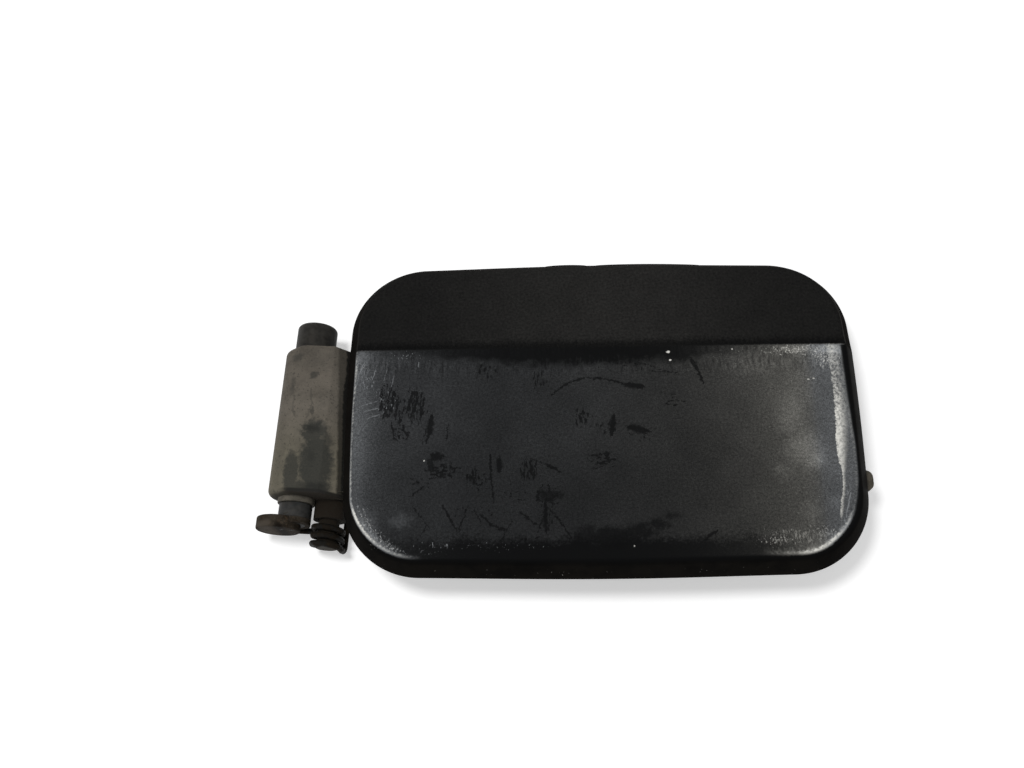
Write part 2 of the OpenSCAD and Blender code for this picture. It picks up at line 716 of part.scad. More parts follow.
module arm_screw(i) {
    color(zinc) translate([arm_screws[i].x, arm_screws[i].y, seat_z - pad_t])
        screw(pad_t + inner_t + nut_h);
}
module arm_nut(i) {
    color(zinc) translate([arm_screws[i].x, arm_screws[i].y, seat_z + inner_t]) weld_nut();
}
module catch_screw(i) {
    color(zinc) flap_place() translate([catch_screws[i].x, catch_screws[i].y, seat_z - base_t])
        screw(base_t + inner_t + nut_h);
}
module catch_nut(i) {
    color(zinc) flap_place() translate([catch_screws[i].x, catch_screws[i].y, seat_z + inner_t])
        weld_nut();
}

// Sets a buffer square on the plate, which is folded above the crease
module buffer_place(s) {
    slope = s.y > crease_y ? upper_slope : 0;
    translate([s.x, s.y, plate_height(s.y)]) rotate([-slope, 0, 0]) children();
}
module buffer(i) {
    draft = 0.6;
    barb_lip = 0.9;
    barb_h = 1.7;
    color(rubber_black) flap_place() buffer_place(buffer_spots[i]) rotate_extrude() polygon(rounded([
        [0, -buffer_h, 0], [buffer_r - draft, -buffer_h, 1.4], [buffer_r, 0, 0.5],
        [buffer_neck_r, 0, 0], [buffer_neck_r, inner_t, 0], [buffer_neck_r + barb_lip, inner_t, 0],
        [buffer_neck_r - barb_lip, inner_t + barb_h, 0.4], [0, inner_t + barb_h, 0]], 4));
}

module arm_screw_upper() { arm_screw(0); }
module arm_screw_middle() { arm_screw(1); }
module arm_screw_lower() { arm_screw(2); }
module arm_nut_upper() { arm_nut(0); }
module arm_nut_middle() { arm_nut(1); }
module arm_nut_lower() { arm_nut(2); }
module catch_screw_upper() { catch_screw(0); }
module catch_screw_lower() { catch_screw(1); }
module catch_nut_upper() { catch_nut(0); }
module catch_nut_lower() { catch_nut(1); }
module buffer_upper() { buffer(0); }
module buffer_lower() { buffer(1); }

outer_panel();
inner_panel();
hinge_arm();
upper_bush();
lower_bush();
pivot_pin();
spacer_sleeve();
crank_lever();
torsion_spring();
latch_catch();
arm_screw_upper();
arm_screw_middle();
arm_screw_lower();
arm_nut_upper();
arm_nut_middle();
arm_nut_lower();
catch_screw_upper();
catch_screw_lower();
catch_nut_upper();
catch_nut_lower();
buffer_upper();
buffer_lower();
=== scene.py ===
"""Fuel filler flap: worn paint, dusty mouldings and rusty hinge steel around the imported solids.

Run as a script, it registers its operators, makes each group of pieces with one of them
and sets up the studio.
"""

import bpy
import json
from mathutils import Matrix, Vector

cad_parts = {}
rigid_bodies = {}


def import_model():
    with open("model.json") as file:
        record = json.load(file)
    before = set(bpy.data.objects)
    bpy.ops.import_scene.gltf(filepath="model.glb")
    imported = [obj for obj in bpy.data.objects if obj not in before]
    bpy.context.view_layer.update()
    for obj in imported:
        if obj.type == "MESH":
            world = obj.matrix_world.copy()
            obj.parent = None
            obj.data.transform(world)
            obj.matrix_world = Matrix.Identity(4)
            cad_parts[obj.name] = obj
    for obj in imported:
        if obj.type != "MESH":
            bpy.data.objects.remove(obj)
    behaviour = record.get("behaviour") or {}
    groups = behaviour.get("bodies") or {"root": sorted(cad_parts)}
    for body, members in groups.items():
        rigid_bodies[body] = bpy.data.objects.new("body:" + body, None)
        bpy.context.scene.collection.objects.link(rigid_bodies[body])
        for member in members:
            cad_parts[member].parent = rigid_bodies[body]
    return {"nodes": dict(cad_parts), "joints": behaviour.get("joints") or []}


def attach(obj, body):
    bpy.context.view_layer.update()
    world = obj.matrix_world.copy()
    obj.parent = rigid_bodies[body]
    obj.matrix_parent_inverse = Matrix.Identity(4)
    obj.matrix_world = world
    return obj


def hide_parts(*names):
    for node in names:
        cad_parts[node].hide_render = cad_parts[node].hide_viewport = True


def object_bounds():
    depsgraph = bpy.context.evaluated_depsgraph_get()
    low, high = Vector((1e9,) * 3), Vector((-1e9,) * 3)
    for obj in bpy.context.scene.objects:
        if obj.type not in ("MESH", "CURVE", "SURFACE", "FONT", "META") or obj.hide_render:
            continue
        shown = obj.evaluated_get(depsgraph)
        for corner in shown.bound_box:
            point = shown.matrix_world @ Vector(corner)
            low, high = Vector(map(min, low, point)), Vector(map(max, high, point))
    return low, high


bl_info = {
    "name": "Fuel filler flap",
    "version": (1, 0, 0),
    "blender": (4, 5, 0),
    "location": "3D View > Sidebar > Filler Flap",
    "description": "Builds the looks of a fuel filler flap around its packed solids",
    "category": "Object",
}

import json
import math
from types import SimpleNamespace

import bmesh
import bpy
import numpy as np
from bpy.props import FloatProperty, FloatVectorProperty, PointerProperty
from mathutils import Matrix, Vector

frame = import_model()
cad_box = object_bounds()

MM = 0.001
NODES = frame["nodes"]
JOINT = frame["joints"][0]
FLAP, PIN = JOINT["child"], JOINT["parent"]


# ---- sizes, colours and studio settings -------------------------------------------------


def length(name, text, default):
    return FloatProperty(
        name=name, description=text, default=default, unit="LENGTH", precision=5
    )


def colour(name, text, default):
    return FloatVectorProperty(
        name=name, description=text, default=default, subtype="COLOR", size=3, min=0.0, max=1.0
    )


class FlapSizes(bpy.types.PropertyGroup):
    """Sizes of the pressed outer sheet, as the solids have them, and of rounded edges"""

    width: length("Width", "Width of the flap over its side edges", 0.177)
    height: length("Height", "Height of the flap over its top and bottom edges", 0.116)
    corner: length("Corner", "Radius of the flap's corners", 0.026)
    side_bow: length("Side bow", "How far the side edges bow outwards", 0.0007)
    edge_bow: length("Edge bow", "How far the top and bottom edges bow outwards", 0.0012)
    hem_swell: length("Hem swell", "Height of the hem's swellings along the top edge", 0.0005)
    sheet: length("Sheet", "Thickness of the outer sheet", 0.0008)
    rim_drop: length("Rim", "Depth of the rim below the face", 0.0084)
    bend: length("Bend", "Outer radius of the bend from face to rim", 0.0032)
    fold: length("Fold", "Outer radius of the fold at the rim's edge", 0.0012)
    hem: length("Hem", "Width of the hem folded under the rim", 0.007)
    crease: length("Crease", "Height of the crease above the flap's centre", 0.021)
    scoop: length("Scoop", "Depth of the hollow along the crease", 0.0009)
    scoop_run: length("Scoop run", "Length over which that hollow runs out", 0.004)
    lower_crown: length("Lower crown", "Fall of the face from crease to bottom edge", 0.001)
    side_crown: length("Side crown", "Fall of the face from its middle to either side", 0.0006)
    crease_round: length("Crease round", "How softly the sheet turns at the crease", 0.00028)
    face_level: length("Face level", "Height of the face above the hinge axis", 0.016)
    centre_x: length("Centre", "Distance of the flap's centre from the hinge axis", 0.1041)
    centre_y: length("Shift", "Shift of the flap's centre along the hinge", 0.0012)
    edge_round: length("Edge round", "Rounding of the edges of mouldings and turned parts", 0.00035)
    rim_angle: FloatProperty(
        name="Rim angle", description="Slope of the rim's wall from the face",
        default=math.radians(60), unit="ROTATION",
    )
    upper_slope: FloatProperty(
        name="Upper slope", description="Slope of the face above the crease",
        default=math.radians(6), unit="ROTATION",
    )


class FlapColours(bpy.types.PropertyGroup):
    """Colours of the finishes"""

    paint: colour("Paint", "Black paint where it is clean", (0.0028, 0.0029, 0.0031))
    # The haze colours are also the colour of the sheen and highlights painted on the face
    cool_haze_and_sheen: colour("Cool haze", "Haze of fine scratches on the face", (0.288, 0.302, 0.318))
    warm_haze_and_sheen: colour("Warm haze", "The same haze where it is dusty", (0.312, 0.304, 0.276))
    band_haze: colour("Band haze", "Haze on the band above the crease", (0.314, 0.304, 0.284))
    road_film: colour("Road film", "Dull brown film on paint in the rim", (0.034, 0.029, 0.023))
    # Also the colour of the highlights painted along the right side and the bend
    pale_primer_and_highlight: colour("Chip", "Bare primer in chips and rubbed edges", (0.74, 0.73, 0.68))
    primer: colour("Primer", "Primer on the inner sheet", (0.052, 0.055, 0.058))
    dust: colour("Dust", "Pale dust that settles on the part", (0.19, 0.165, 0.135))
    moulding: colour("Moulding", "The hinge arm's moulding", (0.112, 0.100, 0.083))
    yellowed: colour("Yellowed", "The moulding towards its lower end", (0.150, 0.138, 0.096))
    stain: colour("Stain", "Oily stain on the barrel", (0.017, 0.0185, 0.0165))
    soaked: colour("Soaked", "The stain where it is deepest", (0.0065, 0.007, 0.006))
    # Painted shade on the arm beside the flap's edge
    beside_edge_shade: colour("Dirt line", "Dirt beside the flap's edge", (0.012, 0.011, 0.0085))
    # Painted shade, with dirt, on the arm in the gap under the flap's edge
    gap: colour("Gap", "The arm in the gap under the flap's edge", (0.0016, 0.0016, 0.0014))
    lip: colour("Lip", "The edge of the barrel's lower end", (0.0065, 0.006, 0.005))
    grime: colour("Grime", "Grime on the barrel's lower end", (0.0105, 0.0075, 0.0048))
    bush: colour("Bush", "The two hinge bushes", (0.094, 0.086, 0.069))
    steel: colour("Pin steel", "Dark steel of the pin", (0.026, 0.025, 0.023))
    sleeve: colour("Sleeve steel", "Blue-grey steel of the spacer sleeve", (0.033, 0.034, 0.034))
    rust_dark: colour("Dark rust", "Dark rust on crank and spring", (0.0160, 0.0120, 0.0080))
    rust_light: colour("Light rust", "Orange rust in patches", (0.046, 0.029, 0.017))
    # A paler place on the crank lobe's top-left
    paler_rust: colour("Rubbed rust", "The crank's rubbed place", (0.066, 0.055, 0.044))
    # Painted shade in the groove between the crank's lobe and hub
    groove_shade: colour("Oily rust", "The crank's dark, oily place", (0.0040, 0.0026, 0.0016))
    catch: colour("Catch", "Olive moulding of the latch catch", (0.042, 0.037, 0.026))
    plating: colour("Plating", "Dull zinc on screws and nuts", (0.34, 0.34, 0.32))
    rubber: colour("Rubber", "Rubber of the buffers", (0.018, 0.018, 0.017))


class FlapStudio(bpy.types.PropertyGroup):
    """Light, floor and camera"""

    sky: FloatProperty(name="Sky", description="Strength of the even light", default=0.50, min=0.0)
    key: FloatProperty(
        name="Key", description="Power of the soft lamp in watts", default=6.0, min=0.0
    )
    floor_glow: FloatProperty(
        name="Floor glow", description="Light the floor adds for the camera", default=0.42, min=0.0
    )
    lens: FloatProperty(
        name="Lens", description="Focal length in millimetres", default=38.67, min=10.0
    )


# ---- node trees -------------------------------------------------------------------------


class Value:
    """A node's output. The signs + - * and / between such values place Math nodes."""

    def __init__(self, board, socket):
        self.board, self.socket = board, socket

    def __add__(self, other):
        return self.board.math("ADD", self, other)

    def __sub__(self, other):
        return self.board.math("SUBTRACT", self, other)

    def __rsub__(self, other):
        return self.board.math("SUBTRACT", other, self)

    def __mul__(self, other):
        return self.board.math("MULTIPLY", self, other)

    def __truediv__(self, other):
        return self.board.math("DIVIDE", self, other)


class Board:
    """Places and joins the nodes of one material or group."""

    def __init__(self, tree):
        self.tree = tree
        tree.nodes.clear()
        self.placed = 0

    def node(self, kind, **settings):
        made = self.tree.nodes.new(kind if kind.startswith("Node") else "ShaderNode" + kind)
        made.location = (200 * (self.placed % 12), -260 * (self.placed // 12))
        self.placed += 1
        for name, value in settings.items():
            setattr(made, name, value)
        return made

    def feed(self, socket, value):
        """Links a value or an output to the socket, or sets the socket to a plain number."""
        value = getattr(value, "socket", value)
        if isinstance(value, bpy.types.NodeSocket):
            self.tree.links.new(value, socket)
        elif value is not None:
            if socket.type == "RGBA" and len(value) == 3:
                value = (*value, 1.0)
            socket.default_value = value

    def fed(self, made, values, output=0):
        """An output of a node whose inputs get the values in order; None leaves one alone."""
        for socket, value in zip(made.inputs, values):
            self.feed(socket, value)
        return Value(self, made.outputs[output])

    def math(self, operation, *values, clamp=False):
        return self.fed(self.node("Math", operation=operation, use_clamp=clamp), values)

    def vector(self, operation, *values):
        output = 1 if operation in ("LENGTH", "DOT_PRODUCT") else 0
        return self.fed(self.node("VectorMath", operation=operation), values, output)

    def scaled(self, value, factor):
        return self.vector("SCALE", value, None, None, factor)

    def span(self, value, low, high, to_low=0.0, to_high=1.0, kind="SMOOTHSTEP"):
        made = self.node("MapRange", interpolation_type=kind, clamp=kind == "LINEAR")
        return self.fed(made, (value, low, high, to_low, to_high))

    def ramp(self, value, low, high, to_low=0.0, to_high=1.0):
        return self.span(value, low, high, to_low, to_high, "LINEAR")

    def noise(self, place, scale, detail=3.0, roughness=0.55, distortion=0.0):
        made = self.node("TexNoise")
        for name, value in (
            ("Vector", place), ("Scale", scale), ("Detail", detail), ("Roughness", roughness),
            ("Distortion", distortion),
        ):
            self.feed(made.inputs[name], value)
        return Value(self, made.outputs["Fac"])

    def shake(self, place, scale):
        """An uneven shift of up to half a unit each way."""
        made = self.node("TexNoise")
        self.feed(made.inputs["Vector"], place)
        self.feed(made.inputs["Scale"], scale)
        split = self.node("SeparateColor")
        self.feed(split.inputs[0], made.outputs["Color"])
        joined = self.fed(self.node("CombineXYZ"), split.outputs)
        return self.vector("SUBTRACT", joined, (0.5, 0.5, 0.5))

    def mix(self, factor, a, b):
        return self.fed(self.node("Mix", data_type="RGBA"), (factor, *[None] * 5, a, b), 2)

    def mix_value(self, factor, a, b):
        return self.fed(self.node("Mix", data_type="FLOAT"), (factor, None, a, b))

    def curve(self, value, points):
        """A smooth curve through points given as (place, level), from the first to the last."""
        low, high = points[0][0], points[-1][0]
        levels = [level for _, level in points]
        base = min(0.0, *levels)
        reach = max(1.0, *levels) - base
        made = self.node("FloatCurve")
        line = made.mapping.curves[0]
        for i, (at, level) in enumerate(points):
            spot = line.points[i] if i < 2 else line.points.new(0, 0)
            spot.location = ((at - low) / (high - low), (level - base) / reach)
        made.mapping.update()
        self.feed(made.inputs["Value"], self.ramp(value, low, high))
        out = Value(self, made.outputs[0])
        return out if reach == 1.0 else self.math("MULTIPLY_ADD", out, reach, base)

    def most(self, top, *others):
        for value in others:
            top = self.math("MAXIMUM", top, value)
        return top

    def group(self, name, **values):
        """The one output of a shared node group, or all of them."""
        made = self.node("Group", node_tree=shared_group(name))
        for label, value in values.items():
            self.feed(made.inputs[label.replace("_", " ")], value)
        outputs = [Value(self, socket) for socket in made.outputs]
        return outputs if len(outputs) > 1 else outputs[0]

    def place(self):
        """The point on the object in millimetres."""
        return self.scaled(self.node("TexCoord").outputs["Object"], 1 / MM)

    def axes(self, vector):
        made = self.node("SeparateXYZ")
        self.feed(made.inputs[0], vector)
        return [Value(self, socket) for socket in made.outputs]

    def facing_up(self):
        """1 on faces turned straight up, -1 on those turned down."""
        return self.axes(self.node("NewGeometry").outputs["Normal"])[2]


def stroke(b, before, point, start, end, width, strength, taper):
    """A mark along the line from Start to End, added to the marks in Before."""
    along = b.vector("SUBTRACT", end, start)
    out = b.vector("SUBTRACT", point, start)
    share = b.vector("DOT_PRODUCT", out, along) / b.vector("DOT_PRODUCT", along, along)
    share = b.math("MAXIMUM", b.math("MINIMUM", share, 1.0), 0.0)
    gap = b.vector("LENGTH", b.vector("SUBTRACT", out, b.scaled(along, share)))
    off_middle = b.math("POWER", b.math("ABSOLUTE", share - 0.5), 2.0)
    mark = b.span(gap / (width * (1.0 - off_middle * taper)), 1.3, 0.5) * strength
    return [b.most(before, mark)]


def patch(b, before, point, wave, centre, radii, ragged, soft, strength):
    """An oval patch around Centre, ragged by Wave, added to the marks in Before."""
    out = b.vector("DIVIDE", b.vector("SUBTRACT", point, centre), radii)
    reach = b.vector("LENGTH", out) + wave * ragged
    return [b.most(before, b.span(reach, 1.0, 1.0 - soft) * strength)]


def flecks(b, point, stretch, scale, cover, soft):
    """Short flecks, drawn out by Stretch, that lie closer where Cover is high."""
    field = b.noise(b.vector("MULTIPLY", point, stretch), scale, 3.0, 0.6)
    edge = 0.68 - cover * 0.23
    return [b.span(field, edge, edge + soft) * b.span(cover, 0.02, 0.16)]


def settled_dust(b, point, amount, drift, speck):
    """Dust that lies on faces turned upwards, in drifts and fine grains."""
    level = b.span(b.facing_up(), -0.1, 0.8, 0.25, 1.0)
    drifts = b.span(b.noise(point, drift, 5.0, 0.6), 0.36, 0.66)
    grains = b.span(b.noise(point, speck, 2.0, 0.7), 0.42, 0.72)
    return [b.math("MULTIPLY", level * (drifts * 0.7 + grains * 0.45), amount, clamp=True)]


def fine_grain(b, point, scale, pits):
    """A fine uneven surface for bump heights, with coarse waves and close pits."""
    waves = b.noise(point, scale * 0.3, 3.0, 0.5)
    return [waves * 0.6 + b.noise(point, scale * 2.2, 4.0, 0.65) * pits]


def rust_patches(b, point, amount, scale):
    """Rust in patches: how far it has gone, and its raised crust."""
    field = b.noise(point, scale, 6.0, 0.68, 0.4)
    edge = 0.72 - amount * 0.4
    mask = b.span(field, edge, edge + 0.12)
    return [mask, b.noise(point, 3.4, 4.0, 0.7) * (mask + 0.3)]


def worn_edge(b, point, strength):
    """Shows where a surface turns over an edge, broken up by noise."""
    rounded = b.node("Bevel", samples=4)
    rounded.inputs["Radius"].default_value = 0.6 * MM
    turned = b.vector("DOT_PRODUCT", rounded.outputs[0], b.node("NewGeometry").outputs["Normal"])
    edge = b.span(turned, 0.995, 0.90)
    broken = b.span(b.noise(point, 0.8, 4.0, 0.65), 0.40, 0.62)
    return [b.math("MULTIPLY", edge * broken, strength, clamp=True)]


# The effects that several finishes share: what builds each, its inputs and its outputs
EFFECTS = {
    "Stroke": (stroke, {
        "Before": 0.0, "Point": (0, 0, 0), "Start": (0, 0, 0), "End": (1, 0, 0), "Width": 0.3,
        "Strength": 1.0, "Taper": 0.8}, ["Mask"]),
    "Patch": (patch, {
        "Before": 0.0, "Point": (0, 0, 0), "Wave": 0.0, "Centre": (0, 0, 0), "Radii": (1, 1, 1),
        "Ragged": 0.5, "Soft": 0.3, "Strength": 1.0}, ["Mask"]),
    "Flecks": (flecks, {
        "Point": (0, 0, 0), "Stretch": (1, 1, 1), "Scale": 1.0, "Cover": 0.3, "Soft": 0.05,
    }, ["Mask"]),
    "Settled dust": (settled_dust, {
        "Point": (0, 0, 0), "Amount": 0.5, "Drift": 0.12, "Speck": 2.0}, ["Mask"]),
    "Fine grain": (fine_grain, {"Point": (0, 0, 0), "Scale": 1.0, "Pits": 0.5}, ["Height"]),
    "Rust": (rust_patches, {"Point": (0, 0, 0), "Amount": 0.5, "Scale": 0.35}, ["Mask", "Height"]),
    "Worn edge": (worn_edge, {"Point": (0, 0, 0), "Strength": 1.0}, ["Mask"]),
}
made_groups = {}


def shared_group(name):
    """The node group of that name, with named sockets, built once."""
    if name in made_groups:
        return made_groups[name]
    build, inputs, outputs = EFFECTS[name]
    tree = bpy.data.node_groups.new(name, "ShaderNodeTree")
    for label, default in inputs.items():
        kind = "NodeSocketVector" if isinstance(default, tuple) else "NodeSocketFloat"
        tree.interface.new_socket(label, in_out="INPUT", socket_type=kind).default_value = default
    for label in outputs:
        tree.interface.new_socket(label, in_out="OUTPUT", socket_type="NodeSocketFloat")
    board = Board(tree)
    given = board.node("NodeGroupInput").outputs
    results = build(board, *[Value(board, given[label]) for label in inputs])
    out = board.node("NodeGroupOutput")
    for label, value in zip(outputs, results):
        board.feed(out.inputs[label], value)
    made_groups[name] = tree
    return tree


def new_material(name):
    """The board of a new material with a Principled BSDF."""
    material = bpy.data.materials.new(name)
    material.use_nodes = True
    board = Board(material.node_tree)
    board.material, board.shader = material, board.node("BsdfPrincipled")
    board.feed(board.node("OutputMaterial").inputs["Surface"], board.shader.outputs[0])
    return board


def close_material(board, values, height, strength, distance_mm):
    """Feeds the shader's inputs by name, and its normal from a bump height."""
    for name, value in values.items():
        board.feed(board.shader.inputs[name], value)
    bump = board.node("Bump")
    bump.inputs["Strength"].default_value = strength
    bump.inputs["Distance"].default_value = distance_mm * MM
    board.feed(bump.inputs["Height"], height)
    board.feed(board.shader.inputs["Normal"], bump.outputs[0])
    return board.material


def shaded(colour_given, factor):
    """The colour made lighter or darker, and no lighter than white."""
    return tuple(min(1.0, factor * part) for part in colour_given)


def shaken(b, flat, shake, amount):
    """The point moved by an uneven shake, to fray a mark's edge."""
    return b.vector("ADD", flat, b.scaled(shake, amount))


def strokes(b, point, lines, mask=None, strength=1.0):
    """Marks along lines given as (x, y, x, y, half width, strength), added to the mask.

    Lines without a strength of their own take the one given. Broad ones run out to a point.
    """
    for x0, y0, x1, y1, width, *own in lines:
        mask = b.group(
            "Stroke", Before=mask, Point=point, Start=(x0, y0, 0), End=(x1, y1, 0), Width=width,
            Strength=own[0] if own else strength, Taper=3.4 if width > 0.65 else 0.8
        )
    return mask


def patches(b, point, wave, spots, mask=None):
    """Ovals given as (x, y, x radius, y radius, ragged, soft, strength), added to the mask."""
    for x, y, rx, ry, ragged, soft, strength in spots:
        mask = b.group(
            "Patch", Before=mask, Point=point, Wave=wave, Centre=(x, y, 0), Radii=(rx, ry, 1),
            Ragged=ragged, Soft=soft, Strength=strength
        )
    return mask


def alike(ragged, soft, spots):
    """Spots given as (x, y, x radius, y radius, strength), all equally ragged and soft."""
    return [(*oval, ragged, soft, strength) for *oval, strength in spots]


# ---- body paint -------------------------------------------------------------------------

# Marks on the face, in millimetres from the hinge axis. Dark strokes: start, end, half width
DARK_STROKES = (
    (86.8, 4.6, 89.9, 7.1, 0.38), (89.9, 7.1, 93.7, 9.2, 0.42), (93.7, 9.2, 98.5, 10.8, 0.45),
    (98.5, 10.8, 105.7, 10.2, 0.45), (105.7, 10.2, 113.1, 7.8, 0.45), (111, 8.2, 119.2, 7.2, 1.2),
    (134.8, 17.6, 137.4, 12.6, 0.85), (137.2, 13, 138.6, 8.2, 0.6),
    (121.8, 12.8, 130.3, 12.2, 0.28), (115.9, 16.6, 125.3, 13.2, 0.25),
    (103.9, 17.5, 113.4, 14.8, 0.25), (66.1, -16.4, 66.5, -24.4, 0.45),
    (66.5, -24.4, 67.5, -32.6, 0.4), (46.4, -1.2, 45.2, -10.6, 1.35),
    (69.1, -16.8, 69.1, -22.8, 1.25), (84.3, -31.4, 84.4, -44.1, 0.8),
    (79.5, -17.6, 84.8, -19.8, 0.3), (84.8, -19.8, 89.4, -22.3, 0.55),
    (84.6, -33.8, 89, -38.9, 0.35), (89, -38.9, 92.5, -44.5, 0.35), (76, -36, 81.2, -40.1, 0.4),
    (84.2, -36.1, 81.1, -44.7, 0.3), (50.3, -33.4, 55.7, -42.5, 0.38),
    (55.7, -42.5, 58.9, -33.5, 0.34), (63.2, -36.6, 66.8, -40.3, 0.5),
    (66.8, -40.3, 71.4, -42, 0.5), (60.9, -34.9, 63.9, -40.3, 0.25),
    (57.1, -43.2, 61.7, -46.5, 0.25), (136.1, -45.7, 139.8, -42.7, 0.6),
    (108, -2.6, 106.8, -10.2, 1.25), (111.6, -6.9, 120.2, -8.9, 1.5),
    (98.8, -17.2, 106.8, -15.9, 0.3), (101.4, -19.7, 108.1, -18.4, 0.4),
    (100, -21.7, 104, -20.7, 0.3), (40.4, -33.6, 46.6, -41.1, 0.25),
    (46.5, -38.4, 42.1, -45.3, 0.25), (73.4, -38.7, 69.4, -45.9, 0.25),
    (51.9, -5.3, 51.3, -11, 0.3), (44.2, -26.9, 39, -30.6, 0.35), (29.2, 8.3, 28.4, -0.1, 0.41),
    (33.1, 7, 31.9, -1.9, 0.54), (34.7, 5.2, 33.8, -3.5, 0.41), (39.6, 6.6, 37.5, -1.1, 0.47),
    (41.4, 4.5, 39.1, -2.9, 0.54), (43.3, 2.7, 42.2, -3.6, 0.41), (31, 1.4, 29.8, -2.5, 0.52),
    (32.7, -4.3, 33.7, -10.2, 0.34), (36.7, 1.3, 35.4, -4.7, 0.36),
)
# Dark patches: centre, radii, raggedness, softness, strength
DARK_PATCHES = (
    (98, -43.8, 6.5, 4.8, 1.2, 0.7, 0.8), (106.2, -44.6, 10.5, 5.2, 0.8, 0.5, 1),
    (114.5, -42.9, 8, 4.2, 1, 0.6, 0.95), (120.5, -40.4, 6, 2.9, 1.3, 0.7, 0.9),
    (125.6, -37.6, 4.4, 1.9, 1.4, 0.8, 0.75), (47.8, -16.9, 3.4, 2, 2.6, 0.5, 0.95),
    (46.2, -19, 1.5, 2.6, 2.6, 0.5, 0.8), (85.4, -30.6, 3.6, 2.6, 2.6, 0.5, 0.7),
    (89, -30.6, 2.6, 1.6, 2.6, 0.5, 0.6),
)
# Fields of dark flecks: centre, radii, cover; drawn out upwards, round, drawn out sideways
TALL_FLECKS = (
    (33, 0.5, 8.5, 14, 0.62), (31.2, 2.6, 5.4, 11, 0.98), (40.6, 1.4, 6.2, 10, 0.98),
    (44.4, -9.4, 3.4, 7, 0.62), (97.4, -3.8, 5, 6, 0.95), (105, -7, 6, 5, 0.6),
    (79.2, -21.6, 5, 7, 1), (60, -24, 5, 5, 0.9), (83.2, 10.6, 5.2, 7, 0.72),
    (84.6, -38, 5, 9, 0.6), (64.6, 14, 8, 4.4, 0.62), (102, 16.5, 20, 3, 0.5),
)
ROUND_FLECKS = (
    (36, -8.6, 6, 6, 0.85), (50, -21.6, 9.5, 5.5, 1), (42, -26, 6, 4.5, 0.6),
    (84.9, -30.6, 7, 5.6, 0.98), (62.3, -25.6, 6, 6, 0.72), (62, -36, 16, 5, 0.42),
    (118, -9.5, 9, 6, 0.5), (74, -30, 9, 8, 0.42), (116, 14, 14, 4, 0.42),
)
WIDE_FLECKS = (
    (104, -18.4, 7, 4.6, 0.8), (127.8, 2.9, 6.4, 5, 0.66), (116, -8.4, 7, 2.6, 0.6),
    (76, -46, 46, 2.6, 0.5),
)
# Pale hairlines: start, end, half width, strength
PALE_STROKES = (
    (22.5, 18.1, 20.9, 13.6, 0.2, 0.8), (20.9, 13.6, 19.6, 8.3, 0.17, 0.7),
    (26.4, 14.6, 25.3, 11.2, 0.2, 0.7), (30.4, 15.3, 29.5, 10.8, 0.16, 0.5),
    (32.8, 12.6, 32.1, 8.5, 0.16, 0.45), (41.3, 17.6, 41.2, 15.6, 0.2, 0.6),
    (24, 12.1, 25, 10.9, 0.16, 0.55), (22.3, 1.9, 27, 3.2, 0.2, 0.6),
    (23.1, -0.2, 27.8, 0.9, 0.2, 0.6), (23.8, -3.1, 28.6, -1.3, 0.2, 0.6),
    (20.3, -6.1, 22.3, -7.6, 0.16, 0.5), (169.7, 9.8, 173.6, 10.3, 0.14, 0.4),
    (172.9, -19.6, 172.3, -23.2, 0.16, 0.5), (181.9, -31.6, 184.4, -29.8, 0.2, 0.6),
    (184.4, -30.6, 182, -38.8, 0.28, 0.8),
)
# Brighter clouds in the haze and painted sheen, scuffed places and bare spots: as the dark patches
HAZE_AND_SHEEN_CLOUDS = (
    (170.5, -15.5, 9, 10, 1.2, 1, 0.75), (174, -19, 5, 5.5, 1.5, 1, 1.1),
    (171, -36.5, 5.5, 6, 1.5, 1, 0.6), (163, -23, 5, 4.5, 1.5, 1, 0.45),
    (161.9, -22.5, 2.2, 2.2, 1.2, 0.9, 0.85), (179, -33.5, 4.5, 3.5, 1.5, 1, 0.5),
    (155, 14, 12, 5, 1.6, 1, 0.5), (167, -4, 7, 10, 1.2, 1, 0.5),
)
SCUFFS = (
    (184, 20, 14, 3.4, 1.5, 0.9, 1), (173, 20.4, 16, 2.6, 1.5, 1, 0.6),
    (20.8, 19.6, 6, 4, 1.5, 0.9, 0.42), (24.5, -39, 8, 9, 1, 0.9, 0.26),
    (36.6, -38.3, 8.5, 5.4, 1.2, 0.9, 0.16), (185, 2, 4, 24, 0.8, 1, 0.4),
    (174, -48.5, 14, 3.4, 1, 1, 0.5), (182.5, -41.5, 4, 5, 1, 1, 0.34),
)
BARE_SPOTS = (
    (174.4, 9.2, 0.5, 0.3, 1.6, 0.5, 0.6), (176.2, 9.5, 0.5, 0.3, 1.6, 0.5, 0.55),
    (127.4, 19.8, 0.8, 0.6, 1.6, 0.5, 0.9), (127.9, 16.8, 0.5, 0.4, 1.6, 0.5, 0.9),
    (149.4, 20.6, 0.35, 0.4, 1.6, 0.5, 0.6), (44, -18, 0.35, 0.4, 1.6, 0.5, 0.7),
    (113, -47.5, 0.3, 0.35, 1.6, 0.5, 0.5),
)
# Fields of pale stipple and of short pale hairs: centre, radii, cover
STIPPLE = (
    (172, 20.2, 26, 4.2, 1.2), (181, 17, 11, 8, 1.2), (152, 19.5, 16, 4.5, 0.52),
    (22, 16, 7, 9, 0.66), (36, 19.5, 16, 4, 0.55), (23, -36, 5, 12, 0.62), (30, -46, 9, 5, 0.85),
    (45, -48.6, 12, 2.8, 0.42), (70, -47, 30, 3.4, 0.36), (160, -46, 16, 4, 0.85),
    (176, -43.5, 12, 6.5, 0.9), (29, 6, 8, 12, 0.5), (174, 6, 14, 14, 0.36),
)
HAIRS = (
    (23, 11, 7, 13, 0.66), (30, 3, 9, 9, 0.42), (183.6, -30, 4, 11, 0.72),
    (168, -44.5, 24, 5.5, 0.95), (172, 10, 12, 10, 0.42), (170, -26, 10, 16, 0.4),
    (48, -46.5, 26, 3, 0.34),
)
